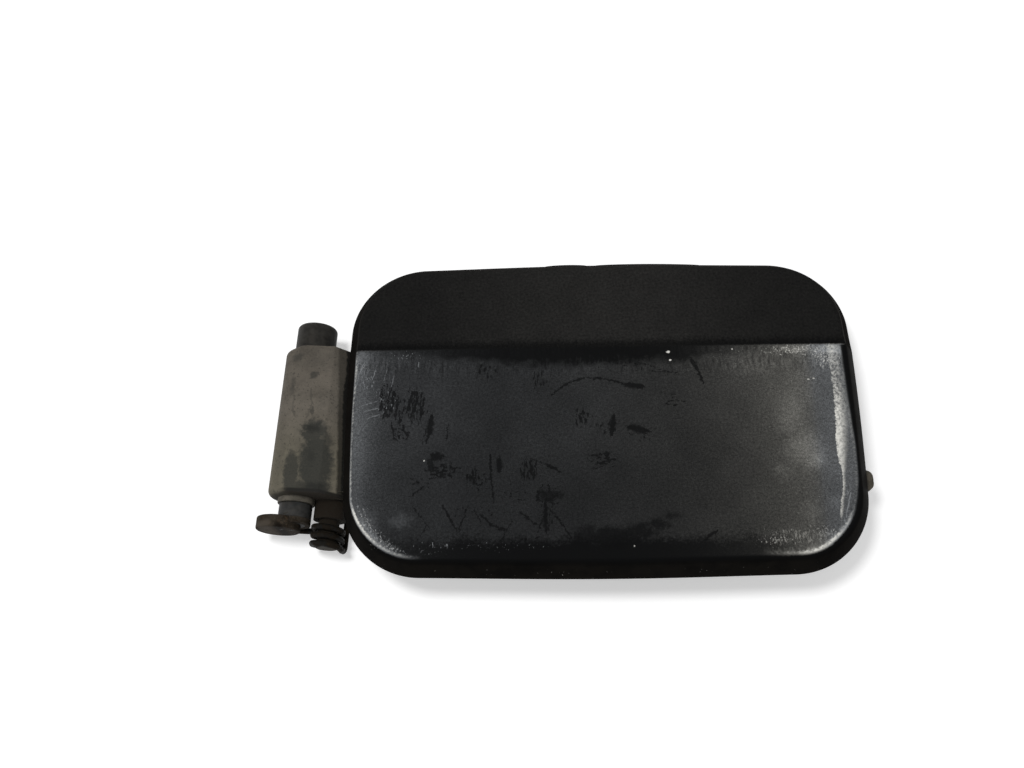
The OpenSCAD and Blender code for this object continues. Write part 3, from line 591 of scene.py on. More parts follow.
# Levels across the face, from hinge to latch: place and level of the band, the haze with its
# painted sheen, lighter at both sides as painted highlights, how dark it is under the crease
# and above the lower bend, and how far down that darkness reaches
BAND_SHADE = (
    (12, 0.26), (25, 0.3), (40, 0.3), (60, 0.42), (95, 0.56), (112, 0.6), (140, 0.48), (165, 0.36),
    (196, 0.32),
)
HAZE_AND_SHEEN_ACROSS = (
    (12, 0.34), (21, 0.28), (26, 0.155), (33, 0.09), (52, 0.072), (70, 0.06), (104, 0.066),
    (125, 0.07), (139, 0.092), (156, 0.145), (172, 0.28), (178, 0.31), (184, 0.34), (196, 0.34),
)
TOP_DARK = (
    (12, 1), (30, 0.6), (45, 0.34), (62, 0.12), (90, 0.05), (125, 0.07), (140, 0.3), (155, 0.7),
    (172, 1.2), (196, 1.5),
)
BOTTOM_DARK = (
    (12, 1.1), (28, 0.9), (40, 0.36), (60, 0.1), (105, 0.05), (125, 0.09), (150, 0.34), (166, 0.9),
    (180, 1.4), (196, 1.5),
)
DARK_DEPTH = (
    (12, 0.15), (40, 0.3), (60, 0.62), (80, 0.95), (130, 0.85), (150, 0.4), (196, 0.2),
)
# The wear that feathers up from the lower bend, and the haze's share of the warm colour
FEATHER = (
    (12, 0.5), (24, 0.5), (30, 0.36), (36, 0.12), (44, 0), (148, 0), (157, 0.14), (168, 0.52),
    (178, 0.9), (183, 0.7), (188, 0.25), (196, 0.1),
)
WARMTH = (
    (12, 0.05), (80, 0.15), (120, 0.5), (150, 0.85), (168, 0.95), (176, 0.3), (181, 0.1),
    (196, 0.1),
)
# Levels up the face: place and level of the haze and its painted sheen, and how far past the
# start of the bend the worn line, with its painted highlight, runs at the left and at the right
HAZE_AND_SHEEN_UPWARDS = (
    (-60, 0.75), (-42, 0.8), (-30, 0.8), (-10, 1), (5, 1.1), (14, 1.12), (24, 1.15),
)
LEFT_WEAR_AND_HIGHLIGHT_LINE = (
    (-60, 0.2), (-50, 0.6), (-42, 1.2), (-36, 1.8), (-28, 2.7), (-20, 3), (-5, 3), (4, 2.7),
    (9, 2.4), (24, 2.4),
)
RIGHT_WEAR_AND_HIGHLIGHT_LINE = (
    (-60, 0.4), (-50, 0.2), (-42, -0.5), (-34, -0.4), (-25, 0.6), (-17, 0.8), (-8, 0.35), (0, 0),
    (10, -0.3), (24, -0.5),
)
# The streak at the right, a painted highlight on rubbed paint: place up the face with its left
# edge (past x = 180), width and strength
STREAK_LEFT = (
    (-42, 0), (-38.4, 0.4), (-33, 1.1), (-26, 2.3), (-23.5, 2.4), (-20, 1.7), (-13.7, 1.4),
    (-5.5, 2.1), (6, 2.3), (15, 2), (24, 1),
)
STREAK_WIDTH = (
    (-42, 0.6), (-33, 0.9), (-25, 1), (-20.5, 2.1), (-14, 3.5), (-6, 4), (4, 4.1), (13, 4.2),
    (24, 5.2),
)
STREAK_STRENGTH = (
    (-42, 0), (-39.5, 0.1), (-37, 0.68), (-24, 0.82), (-19, 1.1), (-6, 1.3), (1, 1.1), (10, 0.72),
    (16, 0.72), (20, 0.85), (24, 0.7),
)


def paint_marks(b, flat, shake, wave):
    """How far the grey haze is scraped off, from 0 to 1."""
    broken = b.span(b.noise(flat, 0.55, 4.0, 0.75), 0.30, 0.46, 0.6, 1.0)
    frayed = shaken(b, shaken(b, flat, shake, 1.9), b.shake(flat, 3.2), 0.7)
    mask = strokes(b, frayed, DARK_STROKES, strength=broken)
    mask = patches(b, frayed, wave, DARK_PATCHES, mask)
    for fields, stretch, scale in (
        (TALL_FLECKS, (1.3, 0.42, 1), 0.95), (ROUND_FLECKS, (1, 1, 1), 0.8),
        (WIDE_FLECKS, (0.6, 1.1, 1), 0.8),
    ):
        cover = patches(b, flat, wave, alike(0.9, 0.75, fields))
        field = b.group("Flecks", Point=flat, Stretch=stretch, Scale=scale, Cover=cover)
        mask = b.most(mask, field * 0.95)
    return mask


def body_paint(colours):
    """Black paint: a dusty band above the crease, and a scuffed face below it, hazed with painted
    sheen.
    """
    b = new_material("body_paint")
    point = b.place()
    flat = b.vector("MULTIPLY", point, (1, 1, 0))
    x, y, _ = b.axes(point)
    past_bend = Value(b, b.node("Attribute", attribute_name="past_bend").outputs["Fac"])

    broad = b.noise(flat, 0.035, 4.0, 0.5)
    cloud = b.noise(flat, 0.11, 5.0, 0.6)
    fine = b.noise(flat, 1.1, 4.0, 0.7)
    speck = b.noise(flat, 2.6, 2.0, 0.6)
    bristles = b.noise(b.vector("MULTIPLY", flat, (1.1, 0.22, 1)), 0.8, 4.0, 0.7)
    wave = b.noise(flat, 0.4, 4.0, 0.6) - 0.5
    shake = b.shake(flat, 0.9)

    def jittered(value, *shifts):
        """The value shifted to and fro by fields, each given with the width of its shift."""
        for field, amount in zip(shifts[::2], shifts[1::2]):
            value = value + (field - 0.5) * amount
        return value

    # The dull, dusty band above the crease, darkest just above it as painted crease shade
    above = b.span(jittered(y, fine, 1.0, bristles, 1.6), 21.7, 22.5)
    crease_shade_above = b.span(jittered(y, fine, 3.0, bristles, 4.0), 22.8, 26.6, 0.30, 1.0)
    band = b.curve(x, BAND_SHADE) * crease_shade_above * b.ramp(cloud, 0.2, 0.8, 0.8, 1.2)
    band = band * b.ramp(fine, 0.2, 0.8, 0.25, 1.75) * 0.088 + b.span(speck, 0.58, 0.74) * 0.035

    # The glossy face below it, hazed grey with painted sheen and lighter at both sides as painted
    # highlights
    fringe_y = jittered(y, cloud, 11.0, bristles, 7.0, fine, 3.0) + b.curve(x, DARK_DEPTH) * 4.6
    top_shade = b.mix_value(b.span(fringe_y, 19.3, 22.6), 1.0, b.curve(x, TOP_DARK))
    near_bottom = b.span(jittered(y, fine, 7.0, cloud, 8.0), -42.5, -47.5)
    bottom_shade = b.mix_value(near_bottom, 1.0, b.curve(x, BOTTOM_DARK))
    haze_and_sheen = b.curve(x, HAZE_AND_SHEEN_ACROSS) * top_shade * bottom_shade * b.curve(y, HAZE_AND_SHEEN_UPWARDS)
    haze_and_sheen = haze_and_sheen * b.ramp(broad, 0.25, 0.75, 0.76, 1.24) * b.ramp(cloud, 0.25, 0.75, 0.84, 1.16)
    haze_and_sheen = haze_and_sheen * b.ramp(fine, 0.2, 0.8, 0.35, 1.65) * b.ramp(speck, 0.2, 0.8, 0.3, 1.7)
    under_crease = b.span(jittered(y, cloud, 6.0), 9.0, 16.5)
    brushed = b.mix_value(under_crease, 1.0, b.ramp(bristles, 0.32, 0.68, 0.40, 1.65))
    clouds = patches(b, flat, wave, HAZE_AND_SHEEN_CLOUDS)
    haze_and_sheen = haze_and_sheen * brushed * b.math("MULTIPLY_ADD", clouds, 0.95, 1.0)
    haze_and_sheen = haze_and_sheen * (1.0 - paint_marks(b, flat, shake, wave) * 0.84)

    # Scuffed pale places: upper ends, lower corners, and specks of bare primer along them
    scuffs = patches(b, flat, wave, SCUFFS) * b.ramp(fine, 0.30, 0.66, 0.45, 1.25)
    stipple_cover = patches(b, flat, wave, alike(0.8, 1, STIPPLE))
    beside_bend = (
        b.span(past_bend, -5.0, -1.0) * b.span(past_bend, 1.6, 0.2) * b.span(x, 46.0, 32.0)
        * b.span(y, -24.0, -38.0) * 0.9
    )
    stipple_cover = b.most(stipple_cover, beside_bend)
    stipple = b.group(
        "Flecks", Point=flat, Stretch=(1, 0.75, 1), Scale=1.5, Cover=stipple_cover, Soft=0.16
    )
    hairs = b.group(
        "Flecks", Point=shaken(b, flat, shake, 1.2), Stretch=(1.7, 0.34, 1), Scale=1.1,
        Cover=patches(b, flat, wave, alike(0.8, 1, HAIRS)), Soft=0.10
    )
    pale = b.most(strokes(b, shaken(b, flat, shake, 0.9), PALE_STROKES), hairs * 0.75)
    # Fine brush-like wear that starts at the lower bend and fades up the face
    feather = (
        b.span(jittered(past_bend, bristles, 5.0, fine, 2.0), -2.8, 0.2) * b.span(y, -28.0, -42.0)
        * b.ramp(fine, 0.28, 0.66, 0.5, 1.3) * b.curve(x, FEATHER)
    )
    face_veil = b.most(haze_and_sheen, scuffs, feather, stipple * 0.66, pale * 0.8)

    # The bend wears through along the left side and round both lower corners, and a painted
    # highlight runs along it there
    line_at = b.mix_value(
        b.span(x, 60.0, 140.0), b.curve(y, LEFT_WEAR_AND_HIGHLIGHT_LINE), b.curve(y, RIGHT_WEAR_AND_HIGHLIGHT_LINE)
    )
    line_at = b.mix_value(above, line_at, 2.7)
    off_line = jittered(past_bend, fine, 0.9) - line_at
    line = 1.0 - b.math("ABSOLUTE", off_line) * 0.85
    worn_and_highlight_sides = b.most(
        b.span(x, 46.0, 26.0) * b.span(y, 23.0, 19.0) * 0.85,
        b.span(x, 154.0, 174.0) * b.span(y, -30.0, -44.0),
        b.span(x, 176.0, 186.0) * b.span(y, 23.0, 20.0) * 0.22,
    )
    bend_wear_and_highlight = b.span(line, 0.05, 0.95) * worn_and_highlight_sides * b.span(cloud, 0.28, 0.55, 0.5, 1.0)
    # A painted highlight: a thin light line along the bend beside the band
    bend_highlight = (
        b.span(line, 0.45, 0.95) * b.span(y, 21.5, 24.0) * b.span(x, 20.0, 190.0, 0.05, 0.13)
    )
    veil = b.mix_value(above, face_veil, band) * b.span(off_line, 0.9, 0.0)
    veil = b.most(veil, bend_wear_and_highlight * b.span(y, -20.0, -38.0, 0.62, 0.95), bend_highlight)

    # Pale primer: the ragged streak at the right, a painted highlight on rubbed paint, the worn
    # bend with its painted highlight, and a few chips
    streak_x = jittered(x, fine, 1.5, cloud, 1.0) - 180.0
    across = (streak_x - b.curve(y, STREAK_LEFT)) / b.curve(y, STREAK_WIDTH)
    rubbed = b.span(across, -0.05, 0.08) * b.span(across, 1.25, 0.25) * b.curve(y, STREAK_STRENGTH)
    rubbed = (
        rubbed
        * b.span(b.noise(flat, 0.75, 4.0, 0.72), 0.36, 0.60, b.span(y, 2.0, 12.0, 0.42, 0.05))
        * b.span(fine, 0.36, 0.62, b.span(y, -16.0, 8.0, 0.78, 0.12))
        * b.span(across, 0.2, 0.9, 1.0, 0.78) * (1.0 - above)
    )
    at_corner = b.most(
        b.span(x, 36.0, 22.0) * b.span(y, -31.0, -37.0) * b.span(y, -50.0, -43.0),
        b.span(x, 160.0, 172.0) * b.span(y, -42.0, -47.0) * 0.6,
    )
    worn_through_and_highlight = (
        bend_wear_and_highlight * b.span(line, 0.20, 0.9)
        * b.span(jittered(fine, cloud, 0.4), 0.40, 0.66, at_corner * 0.38)
        * b.math("MULTIPLY_ADD", at_corner, 1.0, 0.6)
    )
    low_rim = b.span(past_bend, 4.0, 6.5) * b.span(past_bend, 12.0, 9.0) * b.span(y, -50.0, -54.0)
    chips = b.span(b.noise(point, 1.3, 2.0, 0.5), 0.735, 0.755) * low_rim * 0.35
    spots = patches(b, flat, fine - 0.5, BARE_SPOTS)
    upper_right = b.span(x, 158.0, 174.0) * b.span(y, 8.0, 15.0)
    grains = (
        stipple * b.span(stipple_cover, 0.45, 0.85) * b.span(speck, 0.48, 0.62)
        * b.mix_value(upper_right, 0.45, 0.85) * (1.0 - above)
    )
    bare_and_highlight = b.most(rubbed, worn_through_and_highlight, spots, grains) * b.span(past_bend, 5.0, 4.2)
    bare_and_highlight = b.most(bare_and_highlight, chips)

    tint = b.mix(b.curve(x, WARMTH), colours.cool_haze_and_sheen, colours.warm_haze_and_sheen)
    tint = b.mix(above, tint, colours.band_haze)
    film = b.span(b.noise(point, 0.12, 5.0, 0.65), 0.30, 0.62, 0.45, 1.0)
    film = b.span(past_bend, 1.2, 4.0) * film * 0.19
    base = b.mix(veil, colours.paint, tint)
    base = b.mix(film, base, colours.road_film)
    base = b.mix(bare_and_highlight, base, colours.pale_primer_and_highlight)

    rough = jittered(b.mix_value(above, 0.30, 0.62), cloud, 0.25) + film * 0.6
    skin = b.noise(point, 0.9, 2.0, 0.5)
    return close_material(b, {
        "Base Color": base,
        "Roughness": rough + bare_and_highlight * 0.4,
        "Coat Weight": b.mix_value(above, 0.09, 0.015) * b.span(past_bend, 3.0, 0.5),
        "Coat Roughness": 0.16,
        "Specular IOR Level": 0.002,
    }, skin * 0.10 + fine * 0.10, 0.35, 0.10)


# ---- other finishes ---------------------------------------------------------------------


def primed_sheet(colours):
    """Dull primer with paint mist near the edges and road dust."""
    b = new_material("primed_sheet")
    point = b.place()
    mist = b.span(b.noise(point, 0.05, 5.0, 0.6), 0.35, 0.65)
    base = b.mix(mist * 0.5, colours.primer, colours.paint)
    turned_over = b.vector("MULTIPLY", point, (1, 1, -1))
    dust = b.group("Settled dust", Point=turned_over, Amount=0.4, Drift=0.06)
    grime = b.span(b.noise(point, 0.2, 6.0, 0.65), 0.45, 0.75)
    base = b.mix(grime * 0.4, base, colours.road_film)
    base = b.mix(dust, base, colours.dust)
    return close_material(b, {
        "Base Color": base,
        "Roughness": b.span(grime, 0.0, 1.0, 0.45, 0.8),
        "Specular IOR Level": 0.3,
    }, b.group("Fine grain", Point=point, Scale=1.0, Pits=0.4), 0.4, 0.08)


# Oily stains on the arm, and places soaked deeper: centre, radii, raggedness, softness, strength
STAINS = (
    (6, -16.6, 7.2, 13.6, 0.6, 0.4, 1), (5.2, -5.4, 6.2, 6.4, 0.9, 0.5, 0.95),
    (8.8, -8.6, 4, 4.6, 0.9, 0.6, 0.8), (-2, -19.6, 3.4, 9.6, 0.5, 0.4, 0.92),
    (2.6, -25, 7.4, 3.4, 0.8, 0.5, 0.9), (6.6, -24.6, 6.2, 4.6, 0.7, 0.5, 1),
    (4, 15.5, 2, 1.7, 1.6, 0.6, 0.75), (4.1, 2.5, 1, 2.1, 1.6, 0.6, 0.7),
    (-2.6, 22.8, 3.2, 2.4, 1.4, 0.8, 0.65), (-3.6, 12.5, 1.4, 5, 1.8, 0.8, 0.5),
    (5, 21, 7, 5, 2, 1, 0.22), (0, -10, 5, 8, 2, 1, 0.2), (-6.5, -15, 3.6, 15, 1.4, 1, 0.34),
)
SOAKED = (
    (4.4, -4.2, 4.4, 2.6, 1, 0.8, 0.75), (6, -24.8, 6.4, 2.4, 0.8, 0.8, 0.75),
    (4.6, -14, 2.6, 5, 1.2, 1, 0.45),
)
# Where oil has run down: start, end, half width, strength
RUNNELS = (
    (-2.8, 8.2, -3, 3, 0.45, 0.35), (-3, 3, -1.6, 0.2, 0.45, 0.4), (3.2, 10.5, 3.6, 5, 0.5, 0.4),
    (3.6, 5, 2.4, -0.4, 0.4, 0.4),
)


def arm_moulding(colours):
    """Dusty brown-grey moulding with oily stains on the barrel's top."""
    b = new_material("arm_moulding")
    point = b.place()
    flat = b.vector("MULTIPLY", point, (1, 1, 0))
    x, y, z = b.axes(point)
    facing_up = b.facing_up()
    tops = b.span(facing_up, 0.1, 0.5)

    cloud = b.noise(point, 0.13, 6.0, 0.62)
    grain = b.noise(point, 1.6, 4.0, 0.7)
    base = b.mix(b.span(cloud, 0.30, 0.72), colours.moulding, shaded(colours.moulding, 0.62))
    worn = b.group("Worn edge", Point=point, Strength=0.5)
    dust = b.group("Settled dust", Point=point, Amount=0.42, Drift=0.10, Speck=1.8)
    base = b.mix(dust, base, colours.dust)
    base = b.mix(worn, base, colours.dust)

    wave = b.noise(flat, 0.5, 4.0, 0.6) - 0.5
    frayed = shaken(b, flat, b.shake(flat, 0.7), 1.6)
    stains = strokes(b, frayed, RUNNELS, patches(b, frayed, wave, STAINS))
    stain = stains * tops * b.ramp(grain, 0.2, 0.8, 0.82, 1.05) * 0.93
    # Drier and greyer towards the upper end, yellower towards the lower one
    base = b.mix(b.span(y, 4.0, 27.0) * 0.26, base, shaded(colours.moulding, 0.25))
    base = b.mix(b.span(y, 6.0, -18.0) * 0.42, base, colours.yellowed)
    base = b.mix(stain, base, colours.stain)
    base = b.mix(patches(b, frayed, wave, SOAKED) * tops * 0.9, base, colours.soaked)
    # Painted shade beside the flap's edge, painted shade with dirt in the gap under it, and a
    # darker lower end
    beside = b.math("MULTIPLY_ADD", y, 0.021, x) + wave * 1.2
    flap_edge_shade = b.span(beside, 12.0, 13.0) * tops * b.span(y, 24.0, -22.0, 0.56, 0.90)
    base = b.mix(flap_edge_shade, base, colours.beside_edge_shade)
    gap_side = beside - b.span(y, 8.0, 20.0)
    gap_shade_and_dirt = b.span(gap_side, 13.6, 14.2) * b.span(x, 26.0, 19.0)
    base = b.mix(gap_shade_and_dirt * b.span(facing_up, -0.2, 0.15) * 0.93, base, colours.gap)
    along = b.math("MULTIPLY_ADD", x, 0.0593, y)
    lip = b.span(along, -24.9, -25.7) * tops * b.span(x, -7.0, -2.0) * 0.95
    base = b.mix(lip, base, colours.lip)
    grime = b.span(along, -26.2, -27.0) * b.span(cloud, 0.2, 0.5, 0.85, 1.0)
    base = b.mix(grime * b.span(x, -8.0, 1.0, 0.62, 0.95), base, colours.grime)
    # Painted shade: the moulding darker lower down, in clouds
    low = b.span(z, 4.0, -7.0) * b.span(cloud, 0.35, 0.6) * 0.6
    base = b.mix(low, base, shaded(colours.moulding, 0.3))
    specks = b.group("Flecks", Point=point, Scale=1.3, Cover=0.36)
    base = b.mix(specks * 0.5, base, colours.stain)
    return close_material(b, {
        "Base Color": base,
        "Roughness": b.mix_value(stain, 0.82, 0.55),
        "Specular IOR Level": 0.25,
    }, b.group("Fine grain", Point=point, Scale=1.5, Pits=0.6), 0.5, 0.12)


def plain_moulding(name, base_colour, dust_colour, dark_colour, roughness):
    """A small moulded or turned part with a cloudy tone, dust and rubbed edges."""
    b = new_material(name)
    point = b.place()
    cloud = b.noise(point, 0.22, 6.0, 0.62)
    base = b.mix(b.span(cloud, 0.35, 0.70), base_colour, shaded(base_colour, 0.5))
    base = b.mix(b.group("Settled dust", Point=point, Amount=0.3, Drift=0.2), base, dust_colour)
    base = b.mix(b.group("Worn edge", Point=point, Strength=0.35), base, dust_colour)
    specks = b.group("Flecks", Point=point, Scale=0.9, Cover=0.22)
    base = b.mix(specks * 0.55, base, dark_colour)
    return close_material(b, {
        "Base Color": base,
        "Roughness": b.span(cloud, 0.3, 0.7, roughness, roughness + 0.2),
        "Specular IOR Level": 0.3,
    }, b.group("Fine grain", Point=point, Scale=1.6, Pits=0.5), 0.45, 0.1)


def hinge_steel(
    name, base_colour, colours, rust, metal, dust=0.2, wear=0.5, shade=1.0, shine=0.3, coloured_ovals=()
):
    """Dull steel that rust has begun to cover, with coloured ovals given as (oval patch, colour).
    """
    b = new_material(name)
    point = b.place()
    rusted, crust = b.group("Rust", Point=point, Amount=rust, Scale=0.3)
    tone = b.noise(point, 0.5, 5.0, 0.65)
    steel = b.mix(b.span(tone, 0.35, 0.7), base_colour, shaded(base_colour, 0.55))
    bloom = b.span(b.noise(point, 0.7, 5.0, 0.7), 0.52, 0.72)
    rusty = b.mix(bloom, shaded(colours.rust_dark, shade), shaded(colours.rust_light, shade))
    base = b.mix(rusted, steel, rusty)
    base = b.mix(b.group("Worn edge", Point=point, Strength=wear), base, shaded(base_colour, 2.2))
    base = b.mix(b.group("Settled dust", Point=point, Amount=dust, Drift=0.3), base, colours.dust)
    flat = b.vector("MULTIPLY", point, (1, 1, 0))
    for oval, oval_colour in coloured_ovals:
        base = b.mix(patches(b, flat, tone - 0.5, (oval,)), base, oval_colour)
    return close_material(b, {
        "Base Color": base,
        "Metallic": (1.0 - rusted) * metal,
        "Roughness": b.mix_value(rusted, 0.5, 0.85),
        "Specular IOR Level": shine,
    }, crust, 0.6, 0.15)


def finish_library(colours):
    """Every finish of the part by its slot."""
    c = SimpleNamespace(**{
        name: tuple(getattr(colours, name)) for name in FlapColours.__annotations__
    })
    # On the crank's lobe: a paler place, and painted shade in the groove by the hub
    crank_ovals = (
        ((-10.6, -37.0, 4.4, 2.6, 0.9, 0.8, 0.85), c.paler_rust),
        ((-5.6, -38.0, 2.4, 2.4, 0.9, 0.8, 0.85), c.groove_shade),
    )
    return {
        "body_paint": body_paint(c),
        "primed_sheet": primed_sheet(c),
        "arm_moulding": arm_moulding(c),
        "bush_moulding": plain_moulding("bush_moulding", c.bush, c.dust, c.stain, 0.6),
        "pin_steel": hinge_steel(
            "pin_steel", c.steel, c, rust=0.22, metal=0.05, dust=0.07, wear=0.15, shine=0.08
        ),
        "sleeve_steel": hinge_steel(
            "sleeve_steel", c.sleeve, c, rust=0.3, metal=0.05, dust=0.10, wear=0.2, shine=0.1
        ),
        "rusty_steel": hinge_steel(
            "rusty_steel", c.steel, c, rust=1.05, metal=0.2, dust=0.16, shine=0.1, coloured_ovals=crank_ovals
        ),
        # The spring's colours are darkened as painted shade: the coil sits in shadow
        "spring_steel": hinge_steel(
            "spring_steel", shaded(c.steel, 0.3), c, rust=0.75, metal=0.05, dust=0.02, wear=0.2,
            shade=0.5, shine=0.1
        ),
        "catch_moulding": plain_moulding("catch_moulding", c.catch, c.dust, c.stain, 0.55),
        "plated_steel": hinge_steel("plated_steel", c.plating, c, rust=0.25, metal=0.9),
        "buffer_rubber": plain_moulding("buffer_rubber", c.rubber, c.dust, c.paint, 0.7),
    }


finishes = {}


def finish_of(context, slot):
    if not finishes:
        finishes.update(finish_library(context.scene.flap_colours))
    return finishes[slot]


# ---- meshes -----------------------------------------------------------------------------


def new_piece(name, vertices_mm, faces, slot, context, smooth_angle=50.0):
    """A mesh object from points in millimetres, smooth up to an angle, with its finish."""
    mesh = bpy.data.meshes.new(name)
    mesh.from_pydata([tuple(v) for v in np.asarray(vertices_mm, float) * MM], [], faces)
    mesh.validate()
    return finish_piece(name, mesh, slot, context, smooth_angle)


def finish_piece(name, mesh, slot, context, smooth_angle=50.0):
    mesh.polygons.foreach_set("use_smooth", [True] * len(mesh.polygons))
    mesh.set_sharp_from_angle(angle=math.radians(smooth_angle))
    piece = bpy.data.objects.new(name, mesh)
    context.scene.collection.objects.link(piece)
    mesh.materials.clear()
    mesh.materials.append(finish_of(context, slot))
    return piece


def cut(context, mesh, cutters):
    """The mesh with the closed meshes in cutters taken off it."""
    body = bpy.data.objects.new("body_to_cut", mesh)
    context.scene.collection.objects.link(body)
    tools = []
    for cutter in cutters:
        tool = bpy.data.objects.new("cutter", cutter)
        context.scene.collection.objects.link(tool)
        step = body.modifiers.new("cut", "BOOLEAN")
        step.operation, step.solver, step.object = "DIFFERENCE", "EXACT", tool
        tools.append(tool)
    context.view_layer.update()
    result = bpy.data.meshes.new_from_object(body.evaluated_get(context.evaluated_depsgraph_get()))
    for extra in (body, *tools):
        bpy.data.objects.remove(extra)
    return result


# The arm's barrel in millimetres: half its length, its radius, and the rounding of its lower and
# upper end
BARREL_HALF, BARREL_RADIUS = 26.85, 10.0
END_ROUNDS = {-1: 1.9, 1: 2.3}
# The cutter's turn in degrees, from nearly straight up to under the barrel, the share of it over
# which the rounding fades at either end, its least rounding, and how far it stands out
CUTTER_START, CUTTER_TURN, FADE_SHARE, LEAST_ROUND, STAND_OUT = 88, 150, 0.28, 0.02, 0.6


def barrel_rounding(end, round_mm):
    """A cutter that rounds the edge of the barrel's end -1 or 1, on the side away from the flap.

    The rounding fades out towards the barrel's flat top and the neck.
    """
    along, up = Vector(JOINT["axis"]).normalized(), Vector((0, 0, 1))
    side = up.cross(along).normalized()
    if side.x > 0:
        side = -side
    points, faces, steps, turns = [], [], 7, 40
    for i in range(turns + 1):
        share = i / turns
        angle = math.radians(CUTTER_START - CUTTER_TURN * share)
        fade = min(1.0, share / FADE_SHARE, (1 - share) / FADE_SHARE)
        r = max(LEAST_ROUND, round_mm * fade * fade * (3 - 2 * fade))
        out = side * math.cos(angle) + up * math.sin(angle)
        section = [
            (BARREL_RADIUS - r * (1 - math.sin(a)), BARREL_HALF - r * (1 - math.cos(a)))
            for a in np.linspace(0, math.pi / 2, steps)
        ]
        beyond_side, beyond_end = BARREL_RADIUS + STAND_OUT, BARREL_HALF + STAND_OUT
        section += [
            (beyond_side, BARREL_HALF - r), (beyond_side, beyond_end),
            (BARREL_RADIUS - r, beyond_end),
        ]
        points += [out * (u * MM) + along * (end * v * MM) for u, v in section]
    n = len(section)
    for i in range(turns):
        for k in range(n):
            a, b = i * n + k, i * n + (k + 1) % n
            faces.append((a, b, b + n, a + n))
    faces.append(tuple(range(n))[::-1])
    faces.append(tuple(range(turns * n, turns * n + n)))
    mesh = bpy.data.meshes.new("barrel_rounding")
    mesh.from_pydata(points, [], faces)
    work = bmesh.new()
    work.from_mesh(mesh)
    bmesh.ops.recalc_face_normals(work, faces=work.faces)
    work.to_mesh(mesh)
    work.free()
    return mesh


# Points closer than this are joined, faces turned less than FLAT_ANGLE are one face, and edges
# turned more than SHARP_ANGLE are rounded
JOIN_DISTANCE, FLAT_ANGLE, SHARP_ANGLE = 0.002 * MM, math.radians(0.3), math.radians(38)


def refined(context, node, name, body, slot, edge_mm, smooth_angle=50.0, cutters=()):
    """A copy of a CAD node with joined faces and rounded edges, which stands for the node.

    The meshes in cutters are cut off it first.
    """
    mesh = NODES[node].data.copy()
    mesh.name = name
    work = bmesh.new()
    work.from_mesh(mesh)
    bmesh.ops.remove_doubles(work, verts=work.verts, dist=JOIN_DISTANCE)
    if cutters:
        work.to_mesh(mesh)
        work.free()
        mesh = cut(context, mesh, cutters)
        work = bmesh.new()
        work.from_mesh(mesh)
    bmesh.ops.dissolve_limit(work, angle_limit=FLAT_ANGLE, verts=work.verts, edges=work.edges)
    sharp = [
        e for e in work.edges if len(e.link_faces) == 2 and e.calc_face_angle(0.0) > SHARP_ANGLE
    ]
    if edge_mm and sharp:
        bmesh.ops.bevel(
            work, geom=sharp, offset=edge_mm * MM, segments=2, profile=0.5, affect="EDGES",
            clamp_overlap=True,
        )
    work.to_mesh(mesh)
    work.free()
    for label in [a.name for a in mesh.attributes if a.name.startswith("custom_normal")]:
        mesh.attributes.remove(mesh.attributes[label])
    piece = finish_piece(name, mesh, slot, context, smooth_angle)
    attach(piece, body)
    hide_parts(node)
    return piece


def in_millimetres(sizes):
    """The sizes as plain numbers, lengths in millimetres and angles in radians."""
    values = {
        name: getattr(sizes, name) * (1 if name in ("rim_angle", "upper_slope") else 1 / MM)
        for name in FlapSizes.__annotations__
    }
    z = SimpleNamespace(**values)
    z.half_w = z.width / 2 - z.side_bow
    z.half_h = z.height / 2 - z.edge_bow
    z.straight_w = z.half_w - z.corner
    z.straight_h = z.half_h - z.corner
    z.bend_inset = (
        z.bend * (1 - math.cos(z.rim_angle)) + z.fold * math.sin(z.rim_angle)
        + (z.rim_drop - z.fold) * math.cos(z.rim_angle) - z.fold
    ) / math.sin(z.rim_angle)
    return z


def face_level(z, x, y):
    """Height of the painted face, its crease turned softly."""
    w = z.crease_round
    over = w * np.logaddexp(0.0, (y - z.crease) / w)
    under = np.maximum(0.0, z.crease - y)
    fall = math.tan(z.upper_slope) * over + z.scoop * (1 - np.exp(-over / z.scoop_run))
    fall = fall + z.lower_crown * (under / (z.crease + z.half_h)) ** 2
    return z.face_level - fall - z.side_crown * (x / z.half_w) ** 2


# Where the hem swells along the top edge, in half widths from the middle
SWELLINGS = ((-0.21, -0.04), (0.0, 0.43))


def swell(x, start, end):
    """1 at the middle of a swelling, and 0 at its start and end."""
    share = np.clip((x - start) / (end - start), 0.0, 1.0)
    return np.sqrt(np.sin(math.pi * share).clip(0.0))


def bowed(z, x, y):
    """The outline's straight edges bow outwards, and the hem swells along the top."""
    u, v = x / z.half_w, y / z.half_h
    top = z.hem_swell * sum(swell(x, start * z.half_w, end * z.half_w) for start, end in SWELLINGS)
    bow_x = z.side_bow * u ** 3 * np.cos(math.pi / 2 * np.clip(v, -1, 1)) ** 2
    bow_y = z.edge_bow * v ** 3 * np.cos(math.pi / 2 * np.clip(u, -1, 1)) ** 2
    return x + bow_x, y + bow_y + np.where(y > 0, top * v ** 12, 0.0)


